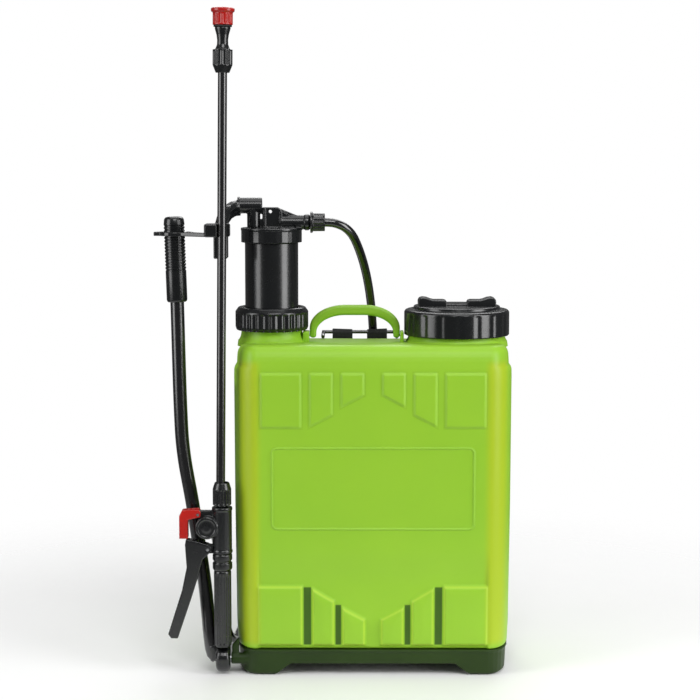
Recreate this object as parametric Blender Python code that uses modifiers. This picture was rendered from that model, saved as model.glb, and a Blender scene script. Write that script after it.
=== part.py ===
"""Knapsack sprayer with an external air chamber that the pump lever drives up and down.

Metres, +Z up. The sprayer stands on the plane z = 0. Its label side faces -Y, the wearer's
back lies on the +Y side, and the pump lever and the stored lance are at its left, on -X.
"""
import math

import bmesh
import bpy
from mathutils import Matrix, Quaternion, Vector

# Driving dimensions
TANK_X = 0.048  # middle of the tank, so that the whole sprayer is centred on x = 0
TANK_WIDTH = 0.325
TANK_DEPTH = 0.170
TANK_FLOOR = 0.0315
TANK_TOP = 0.3885
TANK_WALL = 0.003
FRONT_CORNER = (0.028, 0.045)
BACK_CORNER = (0.030, 0.030)
BACK_RECESS = 0.012
TOP_SLOPE = 0.050  # the tank's top falls towards the wearer
GAP = 0.0003  # between touching pieces

PUMP_X = TANK_X - 0.120
PUMP_NECK_RADIUS = 0.0362
BARREL_RADIUS = 0.0335
BARREL_BORE = 0.0320
CHAMBER_RADIUS = 0.0316
CHAMBER_WALL = 0.0025
CHAMBER_FOOT = 0.150
CHAMBER_RIM = 0.5025
NECK_TOP = 0.4125
OUTLET_Z = 0.5262

FILLER_X = TANK_X + 0.1002
FILLER_NECK_RADIUS = 0.0565
FILLER_BORE = 0.0525
CAP_RADIUS = 0.0625

SHAFT_Y = -0.070
SHAFT_Z = 0.0175
SHAFT_RADIUS = 0.004
CRANK_RADIUS = 0.040
CRANK_ANGLE = math.radians(55)
HUB_RADIUS = 0.0155
HUB_LEFT = TANK_X - 0.1838
HUB_RIGHT = TANK_X - 0.1668
ROD_X = TANK_X - 0.1774
ROD_TOP = (ROD_X, -0.0380, 0.5080)
SLEEVE_Y = -0.0348
LEVER_RADIUS = 0.008
GRIP_RADIUS = 0.012

LANCE_X = -0.1270
LANCE_Y = -0.078
LANCE_RADIUS = 0.0052
LANCE_LEAN = math.radians(0.68)
LANCE_FOOT = 0.0345
GRIP_TOP = 0.1250
VALVE_FOOT = 0.1455
VALVE_TOP = 0.2000
NUT_FOOT = 0.2025
NUT_TOP = 0.2285
LANCE_TOP = 0.7000
VALVE_RADIUS = 0.0113
BOSS_X = TANK_X - 0.1924
BOSS_Z = 0.1766
BOSS_RADIUS = 0.0132
TRIGGER_PIVOT = (-0.1435, LANCE_Y, 0.1505)
LOCK_PIVOT = (-0.1548, LANCE_Y, 0.1912)

HANDLE_X = TANK_X - 0.0212
HANDLE_WIDTH = 0.1075
HANDLE_TOP = 0.4280
HANDLE_PIVOT_Z = 0.3925
HANDLE_DEPTH = 0.0095

STRAP_FOOT = 0.112  # from the tank's middle to the middle of each strap's lower end
STRAP_Y = 0.0893

HOSE_RADIUS = 0.00525

BLACK = ((0.012, 0.014, 0.016), 0.32, 0.0)
DARK_GREEN = ((0.020, 0.040, 0.008), 0.42, 0.0)
LIME = ((0.300, 0.584, 0.047), 0.38, 0.0)
RED = ((0.760, 0.026, 0.016), 0.35, 0.0)
RUBBER = ((0.020, 0.020, 0.020), 0.80, 0.0)
STEEL = ((0.560, 0.560, 0.560), 0.30, 1.0)
WHITE = ((0.700, 0.700, 0.680), 0.45, 0.0)
WEBBING = ((0.015, 0.015, 0.017), 0.90, 0.0)


def clear_scene():
    for obj in list(bpy.data.objects):
        bpy.data.objects.remove(obj, do_unlink=True)


def new_collection(name):
    made = bpy.data.collections.new(name)
    bpy.context.scene.collection.children.link(made)
    return made


def finish(obj, look):
    """Gives a sub-part its own material, or marks a shape without a look as a guide."""
    if look is None:
        GUIDES.objects.link(obj)
        obj.hide_render = True
        obj.display_type = "WIRE"
        return obj
    PARTS.objects.link(obj)
    colour, roughness, metallic = look
    material = bpy.data.materials.new(obj.name)
    material.use_nodes = True
    shader = material.node_tree.nodes["Principled BSDF"]
    shader.inputs["Base Color"].default_value = (*colour, 1.0)
    shader.inputs["Roughness"].default_value = roughness
    shader.inputs["Metallic"].default_value = metallic
    obj.data.materials.append(material)
    return obj


def mesh_object(name, bm, look, at=(0, 0, 0)):
    """Makes an object from a bmesh, with its origin at the point at."""
    mesh = bpy.data.meshes.new(name)
    bm.to_mesh(mesh)
    bm.free()
    mesh.shade_smooth()
    mesh.set_sharp_from_angle(angle=math.radians(35))
    obj = bpy.data.objects.new(name, mesh)
    obj.location = at
    return finish(obj, look)


def hang(name, at, *pieces):
    """Parents pieces to an empty on their joint's axis and leaves them where they are."""
    pivot = bpy.data.objects.new(name, None)
    pivot.location = at
    PARTS.objects.link(pivot)
    for piece in pieces:
        piece.parent = pivot
        piece.matrix_parent_inverse = Matrix.Translation(-Vector(at))


def bar(name, start, end, radius, look=None, sides=20, tip_radius=None):
    """A round bar or cone between two points, closed at both ends."""
    start = Vector(start)
    end = Vector(end)
    bm = bmesh.new()
    bmesh.ops.create_cone(
        bm,
        cap_ends=True,
        segments=sides,
        radius1=radius,
        radius2=radius if tip_radius is None else tip_radius,
        depth=(end - start).length,
    )
    obj = mesh_object(name, bm, look, (start + end) / 2)
    obj.rotation_mode = "QUATERNION"
    obj.rotation_quaternion = Vector((0, 0, 1)).rotation_difference(end - start)
    return obj


def ball(name, at, radius, look):
    bm = bmesh.new()
    bmesh.ops.create_uvsphere(bm, u_segments=16, v_segments=8, radius=radius)
    return mesh_object(name, bm, look, at)


def block(name, low, high, look=None, bevel=0.0, segments=2):
    """A box between two corners, with rounded edges if bevel is given."""
    low = Vector(low)
    high = Vector(high)
    bm = bmesh.new()
    bmesh.ops.create_cube(bm, size=1.0)
    bmesh.ops.scale(bm, vec=high - low, verts=bm.verts)
    obj = mesh_object(name, bm, look, (low + high) / 2)
    if bevel:
        rounding = obj.modifiers.new("Rounding", "BEVEL")
        rounding.width = bevel
        rounding.segments = segments
    return obj


def turned(name, profile, at, look=None, steps=32, hollow=False):
    """A profile of (radius, height) turned about Z.

    It runs down the outer side. A hollow one goes on up the inner side and closes.
    """
    mesh = bpy.data.meshes.new(name)
    corners = [(radius, 0.0, height) for radius, height in profile]
    edges = [(n, n + 1) for n in range(len(profile) - 1)]
    if hollow:
        edges.append((len(profile) - 1, 0))
    mesh.from_pydata(corners, edges, [])
    obj = bpy.data.objects.new(name, mesh)
    obj.location = at
    screw = obj.modifiers.new("Turn", "SCREW")
    screw.angle = 2 * math.pi
    screw.steps = steps
    screw.render_steps = steps
    screw.use_merge_vertices = True
    screw.merge_threshold = 0.00001
    screw.use_smooth_shade = False
    return finish(obj, look)


def smooth_path(points, spacing):
    """Points at about the given spacing along a smooth curve through the route's points."""
    route = [Vector(point) for point in points]
    route = [2 * route[0] - route[1], *route, 2 * route[-1] - route[-2]]
    path = [route[1]]
    for before, start, end, after in zip(route, route[1:], route[2:], route[3:]):
        count = max(1, round((end - start).length / spacing))
        for n in range(1, count + 1):
            t = n / count
            pull = (end - before) * t + (2 * before - 5 * start + 4 * end - after) * t**2
            path.append(start + (pull + (3 * start - before - 3 * end + after) * t**3) / 2)
    return path


def tube(name, path, radius, look=None, resolution=2):
    """A round wire or tube along a path, with closed ends."""
    curve = bpy.data.curves.new(name, "CURVE")
    curve.dimensions = "3D"
    curve.bevel_depth = radius
    curve.bevel_resolution = resolution
    curve.use_fill_caps = True
    spline = curve.splines.new("POLY")
    spline.points.add(len(path) - 1)
    for point, place in zip(spline.points, path):
        point.co = (*place, 1.0)
    return finish(bpy.data.objects.new(name, curve), look)


def plate(name, outline, thickness, at, look=None, holes=(), face="-Y"):
    """A flat piece from an outline. A face of -Y stands it up in XZ, and of +X in YZ."""
    curve = bpy.data.curves.new(name, "CURVE")
    curve.dimensions = "2D"
    curve.fill_mode = "BOTH"
    curve.extrude = thickness / 2
    for loop in (outline, *holes):
        spline = curve.splines.new("POLY")
        spline.points.add(len(loop) - 1)
        spline.use_cyclic_u = True
        for point, (across, up) in zip(spline.points, loop):
            point.co = (across, up, 0.0, 1.0)
    obj = bpy.data.objects.new(name, curve)
    obj.location = at
    upright = math.pi / 2
    turns = {"-Y": (upright, 0, 0), "+X": (upright, 0, upright), "+Z": (0, 0, 0)}
    obj.rotation_euler = turns[face]
    return finish(obj, look)


def as_mesh(obj, look=None):
    """Replaces a curve object by a mesh with welded ends, so that it takes Booleans."""
    bpy.context.view_layer.update()
    name = obj.name
    depsgraph = bpy.context.evaluated_depsgraph_get()
    mesh = bpy.data.meshes.new_from_object(obj.evaluated_get(depsgraph))
    bm = bmesh.new()
    bm.from_mesh(mesh)
    bmesh.ops.remove_doubles(bm, verts=bm.verts, dist=0.00001)
    bm.to_mesh(mesh)
    bm.free()
    placed = obj.matrix_world.copy()
    bpy.data.objects.remove(obj, do_unlink=True)
    made = bpy.data.objects.new(name, mesh)
    made.matrix_world = placed
    mesh.materials.clear()
    return finish(made, look)


def add(target, *others):
    """Joins other shapes to the target."""
    for other in others:
        union = target.modifiers.new("Add " + other.name, "BOOLEAN")
        union.operation = "UNION"
        union.object = other
    return target


def cut(target, *cutters):
    """Cuts the cutters' shapes out of the target."""
    for cutter in cutters:
        difference = target.modifiers.new("Cut " + cutter.name, "BOOLEAN")
        difference.operation = "DIFFERENCE"
        difference.object = cutter
    return target


def arc(centre, radii, start, end, count):
    """Points along an elliptical arc, its angles in degrees."""
    points = []
    for n in range(count + 1):
        angle = math.radians(start + (end - start) * n / count)
        across = centre[0] + radii[0] * math.cos(angle)
        points.append((across, centre[1] + radii[1] * math.sin(angle)))
    return points


def loft(name, sections, look=None, at=(0, 0, 0)):
    """A closed body through sections of equal point count, given from the bottom up."""
    bm = bmesh.new()
    rings = [[bm.verts.new(point) for point in section] for section in sections]
    count = len(rings[0])
    for low, high in zip(rings, rings[1:]):
        for n in range(count):
            after = (n + 1) % count
            bm.faces.new((low[n], low[after], high[after], high[n]))
    bm.faces.new(reversed(rings[0]))
    bm.faces.new(rings[-1])
    bmesh.ops.recalc_face_normals(bm, faces=bm.faces)
    return mesh_object(name, bm, look, at)


def tank_plan(inset, height, fall=0.0):
    """The tank's outline seen from above, drawn in by inset, and lower towards the back by fall."""
    half = TANK_WIDTH / 2
    depth = TANK_DEPTH / 2
    fx, fy = FRONT_CORNER
    bx, by = BACK_CORNER
    front = [(fx - inset, fy - inset)] * 2
    back = [(bx - inset, by - inset)] * 2
    plan = arc((-half + fx, -depth + fy), front[0], 180, 270, 6)
    plan += arc((half - fx, -depth + fy), front[1], 270, 360, 6)
    plan += arc((half - bx, depth - by), back[0], 0, 90, 5)
    span = half - bx
    for n in range(1, 10):
        across = span * (1 - n / 5)
        dip = BACK_RECESS * (1 - (across / span) ** 2) ** 2
        plan.append((across, depth - inset - dip))
    plan += arc((-half + bx, depth - by), back[1], 90, 180, 5)
    return [(TANK_X + x, y, height - fall * (y + depth)) for x, y in plan]


def make_tank():
    """The blow-moulded tank: a hollow shell with a pump neck and a filler neck."""
    levels = (
        (TANK_FLOOR, 0.0060, 0.0),
        (TANK_FLOOR + 0.0035, 0.0030, 0.0),
        (0.060, 0.0018, 0.0),
        (0.200, 0.0004, 0.0),
        (0.350, 0.0, 0.0),
        (0.3600, 0.0008, 0.0),
        (0.3640, 0.0034, 0.2),
        (0.3780, 0.0042, 0.6),
        (0.3845, 0.0065, 1.0),
        (0.3875, 0.0100, 1.0),
        (TANK_TOP, 0.0160, 1.0),
    )
    sections = [tank_plan(inset, z, share * TOP_SLOPE) for z, inset, share in levels]
    tank = loft("tank", sections, LIME)
    inner = (
        (TANK_FLOOR + TANK_WALL, 0.0080, 0.0),
        (0.060, TANK_WALL + 0.0018, 0.0),
        (0.3580, TANK_WALL, 0.0),
        (0.3800, 0.0080, 0.9),
        (TANK_TOP - TANK_WALL, 0.0160, 1.0),
    )
    hollow_sections = [tank_plan(inset, z, share * TOP_SLOPE) for z, inset, share in inner]
    hollow = loft("tank_hollow", hollow_sections)
    neck_foot = 0.3795
    pump_neck = turned(
        "pump_neck",
        [
            (0, NECK_TOP),
            (PUMP_NECK_RADIUS, NECK_TOP),
            (PUMP_NECK_RADIUS, 0.3965),
            (0.0385, 0.3900),
            (0.0400, neck_foot),
            (0, neck_foot),
        ],
        (PUMP_X, 0, 0),
    )
    filler_neck = turned(
        "filler_neck",
        [
            (0, NECK_TOP),
            (FILLER_NECK_RADIUS, NECK_TOP),
            (FILLER_NECK_RADIUS, 0.3935),
            (0.0600, 0.3895),
            (0.0610, neck_foot),
            (0, neck_foot),
        ],
        (FILLER_X, 0, 0),
    )
    bore_ends = (0.370, 0.420)
    pump_bore = bar("pump_bore", *[(PUMP_X, 0, z) for z in bore_ends], BARREL_RADIUS + 0.0005)
    filler_bore = bar("filler_bore", *[(FILLER_X, 0, z) for z in bore_ends], FILLER_BORE, sides=32)
    lugs = []
    half = HANDLE_WIDTH / 2
    lug_gap = 0.0004
    lug_sides = (("left", -half - 0.0080, -half - lug_gap), ("right", half + lug_gap, half + 0.0044))
    for side, west, east in lug_sides:
        low = (HANDLE_X + west, -0.0140, 0.3815)
        high = (HANDLE_X + east, 0.0080, 0.3965)
        lugs.append(block("handle_lug_" + side, low, high))
    pin_hole = bar(
        "handle_pin_hole",
        (HANDLE_X - half - 0.0043, 0, HANDLE_PIVOT_Z),
        (HANDLE_X + half + 0.0060, 0, HANDLE_PIVOT_Z),
        0.0023,
        sides=12,
    )
    cut(tank, hollow)
    add(tank, pump_neck, filler_neck, *lugs)
    cut(tank, pump_bore, filler_bore, pin_hole)


def make_base():
    """The moulded base tray, its two runners, and the bearing of the lever's shaft."""
    top = TANK_FLOOR - GAP
    levels = ((0.0, 0.0090), (0.0030, 0.0055), (0.0235, 0.0045), (top - 0.0015, 0.0045), (top, 0.0055))
    base = loft("base", [tank_plan(inset, z) for z, inset in levels], DARK_GREEN)
    arch = [(0.114, -0.005), (0.114, 0.0), (0.096, 0.0135)]
    arch += [(-across, up) for across, up in reversed(arch)]
    arch_cutter = as_mesh(plate("base_arch", arch, 0.24, (TANK_X, 0, 0)))
    pocket = block("base_pocket", (TANK_X - 0.096, -0.070, 0.0), (TANK_X + 0.096, 0.060, 0.0275))
    boss_left = TANK_X - 0.1660
    boss_right = TANK_X - 0.1200
    boss = bar("shaft_boss", (boss_left, SHAFT_Y, SHAFT_Z), (boss_right, SHAFT_Y, SHAFT_Z), 0.0066)
    fin_outline = [
        (-0.1650, SHAFT_Z),
        (-0.1570, SHAFT_Z),
        (-0.1570, 0.0300),
        (-0.1560, 0.0425),
        (-0.1575, 0.0425),
        (-0.1650, 0.0340),
    ]
    fin = as_mesh(plate("shaft_fin", fin_outline, 0.006, (TANK_X, SHAFT_Y, 0)))
    bore_ends = (boss_left - 0.01, boss_right - 0.01)
    bore = bar("shaft_bore", *[(x, SHAFT_Y, SHAFT_Z) for x in bore_ends], SHAFT_RADIUS + GAP)
    hooks = []
    for side, sign in (("left", -1), ("right", 1)):
        x = TANK_X + sign * STRAP_FOOT
        hooks.append(block("strap_hook_" + side, (x - 0.010, 0.0740, 0.0160), (x + 0.010, 0.0940, 0.0200)))
        hooks.append(block("hook_lip_" + side, (x - 0.010, 0.0918, 0.0170), (x + 0.010, 0.0940, 0.0235)))
    cut(base, arch_cutter, pocket)
    add(base, boss, fin, *hooks)
    cut(base, bore)


def make_handle():
    """The folding carry handle on its two pins."""
    half = HANDLE_WIDTH / 2
    foot = HANDLE_PIVOT_Z - 0.0040
    corner = (0.030, 0.018)
    inner = (0.024, 0.011)
    leg = 0.0080
    grip = HANDLE_TOP - 0.0125
    outline = [(-half, foot), (-half + leg, foot)]
    outline += arc((-half + leg + inner[0], grip - inner[1]), inner, 180, 90, 4)
    outline += arc((half - leg - inner[0], grip - inner[1]), inner, 90, 0, 4)
    outline += [(half - leg, foot), (half, foot)]
    outline += arc((half - corner[0], HANDLE_TOP - corner[1]), corner, 0, 90, 5)
    outline += arc((-half + corner[0], HANDLE_TOP - corner[1]), corner, 90, 180, 5)
    handle = as_mesh(plate("carry_handle", outline, HANDLE_DEPTH, (HANDLE_X, 0, 0)), LIME)
    hole = bar(
        "handle_bore",
        (HANDLE_X - half - 0.01, 0, HANDLE_PIVOT_Z),
        (HANDLE_X + half + 0.01, 0, HANDLE_PIVOT_Z),
        0.0023,
        sides=12,
    )
    cut(handle, hole)
    hang("handle_axis", (HANDLE_X, 0, HANDLE_PIVOT_Z), handle)
    for side, sign in (("left", -1), ("right", 1)):
        outer = HANDLE_X + sign * (half + 0.0040)
        inner_end = HANDLE_X + sign * (half - 0.0070)
        ends = ((outer, 0, HANDLE_PIVOT_Z), (inner_end, 0, HANDLE_PIVOT_Z))
        bar("handle_pin_" + side, *ends, 0.0020, STEEL, sides=12)


def make_filler():
    """The screw cap with its gasket and vent valve, and the strainer basket below it."""
    at = (FILLER_X, 0, 0)
    cap = turned(
        "filler_cap",
        [
            (0, 0.4275),
            (0.0500, 0.4275),
            (0.0514, 0.4262),
            (0.0514, 0.4236),
            (0.0610, 0.4226),
            (CAP_RADIUS, 0.4205),
            (CAP_RADIUS, 0.3930),
            (FILLER_NECK_RADIUS + 0.0006, 0.3930),
            (FILLER_NECK_RADIUS + 0.0006, 0.4165),
            (0, 0.4165),
        ],
        at,
        BLACK,
        steps=36,
    )
    wings = []
    for side, sign in (("left", -1), ("right", 1)):
        low = (FILLER_X + min(sign * 0.0110, sign * 0.0460), -0.0110, 0.4260)
        high = (FILLER_X + max(sign * 0.0110, sign * 0.0460), 0.0110, 0.4345)
        wings.append(block("cap_wing_" + side, low, high, bevel=0.003))
    vent_hole = bar("cap_vent_hole", (FILLER_X, 0, 0.410), (FILLER_X, 0, 0.440), 0.0032, sides=12)
    add(cap, *wings)
    cut(cap, vent_hole)
    turned(
        "vent_valve",
        [
            (0, 0.4272),
            (0.0026, 0.4272),
            (0.0026, 0.4160),
            (0.0060, 0.4145),
            (0.0060, 0.4125),
            (0, 0.4125),
        ],
        at,
        RUBBER,
        steps=12,
    )
    turned(
        "cap_gasket",
        [(0.0560, 0.4162), (0.0560, 0.4143), (0.0480, 0.4143), (0.0480, 0.4162)],
        at,
        RUBBER,
        hollow=True,
    )
    basket = turned(
        "strainer_basket",
        [
            (0, 0.3320),
            (0.0452, 0.3320),
            (0.0470, 0.4140),
            (0.0556, 0.4140),
            (0.0556, 0.4128),
            (0.0490, 0.4128),
            (0.0470, 0.3300),
            (0, 0.3300),
        ],
        at,
        BLACK,
        steps=24,
    )
    for n in range(4):
        angle = math.pi * n / 4
        slot = block("basket_slot_" + str(n), (-0.070, -0.0070, -0.030), (0.070, 0.0070, 0.030))
        slot.location = (FILLER_X, 0, 0.3700)
        slot.rotation_euler = (0, 0, angle)
        cut(basket, slot)


def make_pump():
    """The barrel in the tank, and the chamber, piston and valves that work in it."""
    at = (PUMP_X, 0, 0)
    turned(
        "collar_nut",
        [
            (0.0355, 0.4262),
            (0.0395, 0.4258),
            (0.0434, 0.4205),
            (0.0434, 0.4020),
            (0.0418, 0.3988),
            (PUMP_NECK_RADIUS + 0.0005, 0.3988),
            (PUMP_NECK_RADIUS + 0.0005, 0.4180),
            (0.0355, 0.4180),
        ],
        at,
        BLACK,
        hollow=True,
    )
    inner = CHAMBER_RADIUS + GAP
    turned(
        "guide_ring",
        [(0.0351, 0.4240), (0.0351, 0.4178), (inner, 0.4178), (inner, 0.4240)],
        at,
        WHITE,
        hollow=True,
    )
    turned(
        "barrel_gasket",
        [(0.0358, 0.4143), (0.0358, 0.4128), (0.0342, 0.4128), (0.0342, 0.4143)],
        at,
        RUBBER,
        hollow=True,
    )
    turned(
        "pump_barrel",
        [
            (0.0358, 0.4174),
            (0.0358, 0.4146),
            (BARREL_RADIUS, 0.4146),
            (BARREL_RADIUS, 0.0600),
            (0.0120, 0.0600),
            (0.0120, 0.0520),
            (0.0050, 0.0520),
            (0.0050, 0.0600),
            (0.0080, 0.0630),
            (BARREL_BORE, 0.0630),
            (BARREL_BORE, 0.4174),
        ],
        at,
        BLACK,
        hollow=True,
    )
    turned(
        "suction_strainer",
        [
            (0.0150, 0.0590),
            (0.0150, 0.0370),
            (0.0125, 0.0370),
            (0.0125, 0.0590),
        ],
        at,
        WHITE,
        steps=20,
        hollow=True,
    )
    ball("inlet_ball", (PUMP_X, 0, 0.0668), 0.0060, WHITE)
    inner = CHAMBER_RADIUS - CHAMBER_WALL
    turned(
        "air_chamber",
        [
            (CHAMBER_RADIUS, CHAMBER_RIM),
            (CHAMBER_RADIUS, CHAMBER_FOOT),
            (0.0140, CHAMBER_FOOT),
            (0.0140, CHAMBER_FOOT - 0.024),
            (0.0050, CHAMBER_FOOT - 0.024),
            (0.0050, CHAMBER_FOOT + 0.001),
            (0.0080, CHAMBER_FOOT + 0.004),
            (inner, CHAMBER_FOOT + 0.004),
            (inner, CHAMBER_RIM),
        ],
        at,
        BLACK,
        hollow=True,
    )
    seat = CHAMBER_FOOT - 0.0004
    turned(
        "piston_cup",
        [
            (0.0290, seat),
            (BARREL_BORE - GAP, seat - 0.004),
            (BARREL_BORE - GAP, seat - 0.008),
            (0.0144, seat - 0.008),
            (0.0144, seat),
        ],
        at,
        RUBBER,
        steps=24,
        hollow=True,
    )
    nut_top = seat - 0.0084
    nut_foot = seat - 0.0180
    turned(
        "piston_nut",
        [(0.0240, nut_top), (0.0240, nut_foot), (0.0168, nut_foot), (0.0168, nut_top)],
        at,
        BLACK,
        steps=6,
        hollow=True,
    )
    ball("chamber_ball", (PUMP_X, 0, CHAMBER_FOOT + 0.0078), 0.0060, WHITE)


def make_chamber_head():
    """The cap on the air chamber with its outlet, and the yoke that the lever's rod drives."""
    rim = 0.0360
    cap_top = 0.5200
    head = turned(
        "chamber_head",
        [
            (0, cap_top),
            (rim - 0.001, cap_top),
            (rim, cap_top - 0.001),
            (rim, 0.5028),
            (CHAMBER_RADIUS - CHAMBER_WALL - 0.0004, 0.5028),
            (CHAMBER_RADIUS - CHAMBER_WALL - 0.0004, 0.4960),
            (0.0100, 0.4960),
            (0.0100, 0.5150),
            (0, 0.5150),
        ],
        (PUMP_X, 0, 0),
        BLACK,
    )
    outlet_left = TANK_X - 0.1100
    outlet = bar("outlet_tube", (outlet_left, 0, OUTLET_Z), (TANK_X - 0.0743, 0, OUTLET_Z), 0.0085)
    bracket_outline = [
        (-0.1306, cap_top - 0.001),
        (-0.0935, cap_top - 0.001),
        (-0.0935, 0.5300),
        (-0.1125, 0.5440),
        (-0.1306, 0.5440),
    ]
    pin_hole = arc((-0.1212, 0.5390), (0.0022, 0.0022), 0, 315, 7)
    bracket = as_mesh(plate("head_bracket", bracket_outline, 0.011, (TANK_X, 0, 0), holes=[pin_hole]))
    bore_x = TANK_X - 0.1020
    bore_start = (bore_x - 0.0030, 0, OUTLET_Z)
    outlet_bore = bar("outlet_bore", bore_start, (bore_x + 0.0320, 0, OUTLET_Z), 0.0035, sides=12)
    outlet_rise = bar("outlet_rise", (bore_x, 0, 0.490), (bore_x, 0, OUTLET_Z), 0.0030, sides=12)
    add(head, outlet, bracket)
    cut(head, outlet_bore, outlet_rise)

    tee_z = 0.5460
    tee = bar("yoke_arm", (TANK_X - 0.1598, 0, tee_z), (TANK_X - 0.1311, 0, tee_z), 0.0094, BLACK)
    flange = bar("tee_flange", (TANK_X - 0.1600, 0, tee_z), (TANK_X - 0.1578, 0, tee_z), 0.0106)
    stem = bar("tee_stem", (TANK_X - 0.1410, 0, cap_top + GAP), (TANK_X - 0.1410, 0, 0.5440), 0.0079)
    swan = [
        (TANK_X - 0.1560, 0, 0.5455),
        (TANK_X - 0.1660, -0.0080, 0.5440),
        (TANK_X - 0.1740, -0.0210, 0.5370),
        (ROD_X, SLEEVE_Y, 0.5230),
    ]
    neck = as_mesh(tube("swan_neck", smooth_path(swan, 0.008), 0.0074))
    sleeve_middle = Vector((ROD_X, SLEEVE_Y, 0))
    sleeve_low = sleeve_middle + Vector((-0.0080, -0.0112, 0.4855))
    sleeve_high = sleeve_middle + Vector((0.0080, 0.0112, 0.5267))
    sleeve = block("rod_sleeve", sleeve_low, sleeve_high, bevel=0.001, segments=1)
    channel_low = sleeve_middle + Vector((-0.0050, -0.0088, 0.4700))
    channel_high = sleeve_middle + Vector((0.0050, 0.0088, 0.5160))
    channel = block("rod_channel", channel_low, channel_high)
    add(tee, flange, stem, neck, sleeve)
    cut(tee, channel)
    hang("yoke_axis", (PUMP_X, 0, 0), tee)


def make_outlet():
    """The hose nut on the chamber's outlet and the barb inside it."""
    left = TANK_X - 0.0739
    length = 0.0172
    bore = 0.0060
    outside = [(0.0106, length), (0.0106, 0.0030), (0.0125, 0.0026), (0.0125, 0.0)]
    profile = outside + [(bore, 0.0), (bore, length)]
    nut = turned("outlet_nut", profile, (left, 0, OUTLET_Z), BLACK, steps=20, hollow=True)
    nut.rotation_euler = (0, math.pi / 2, 0)
    ends = (left + 0.0006, left + length - 0.0004)
    barb = bar("outlet_barb", *[(x, 0, OUTLET_Z) for x in ends], 0.0052, STEEL, sides=12)
    hang("barb_axis", (PUMP_X, 0, 0), barb)


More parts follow.
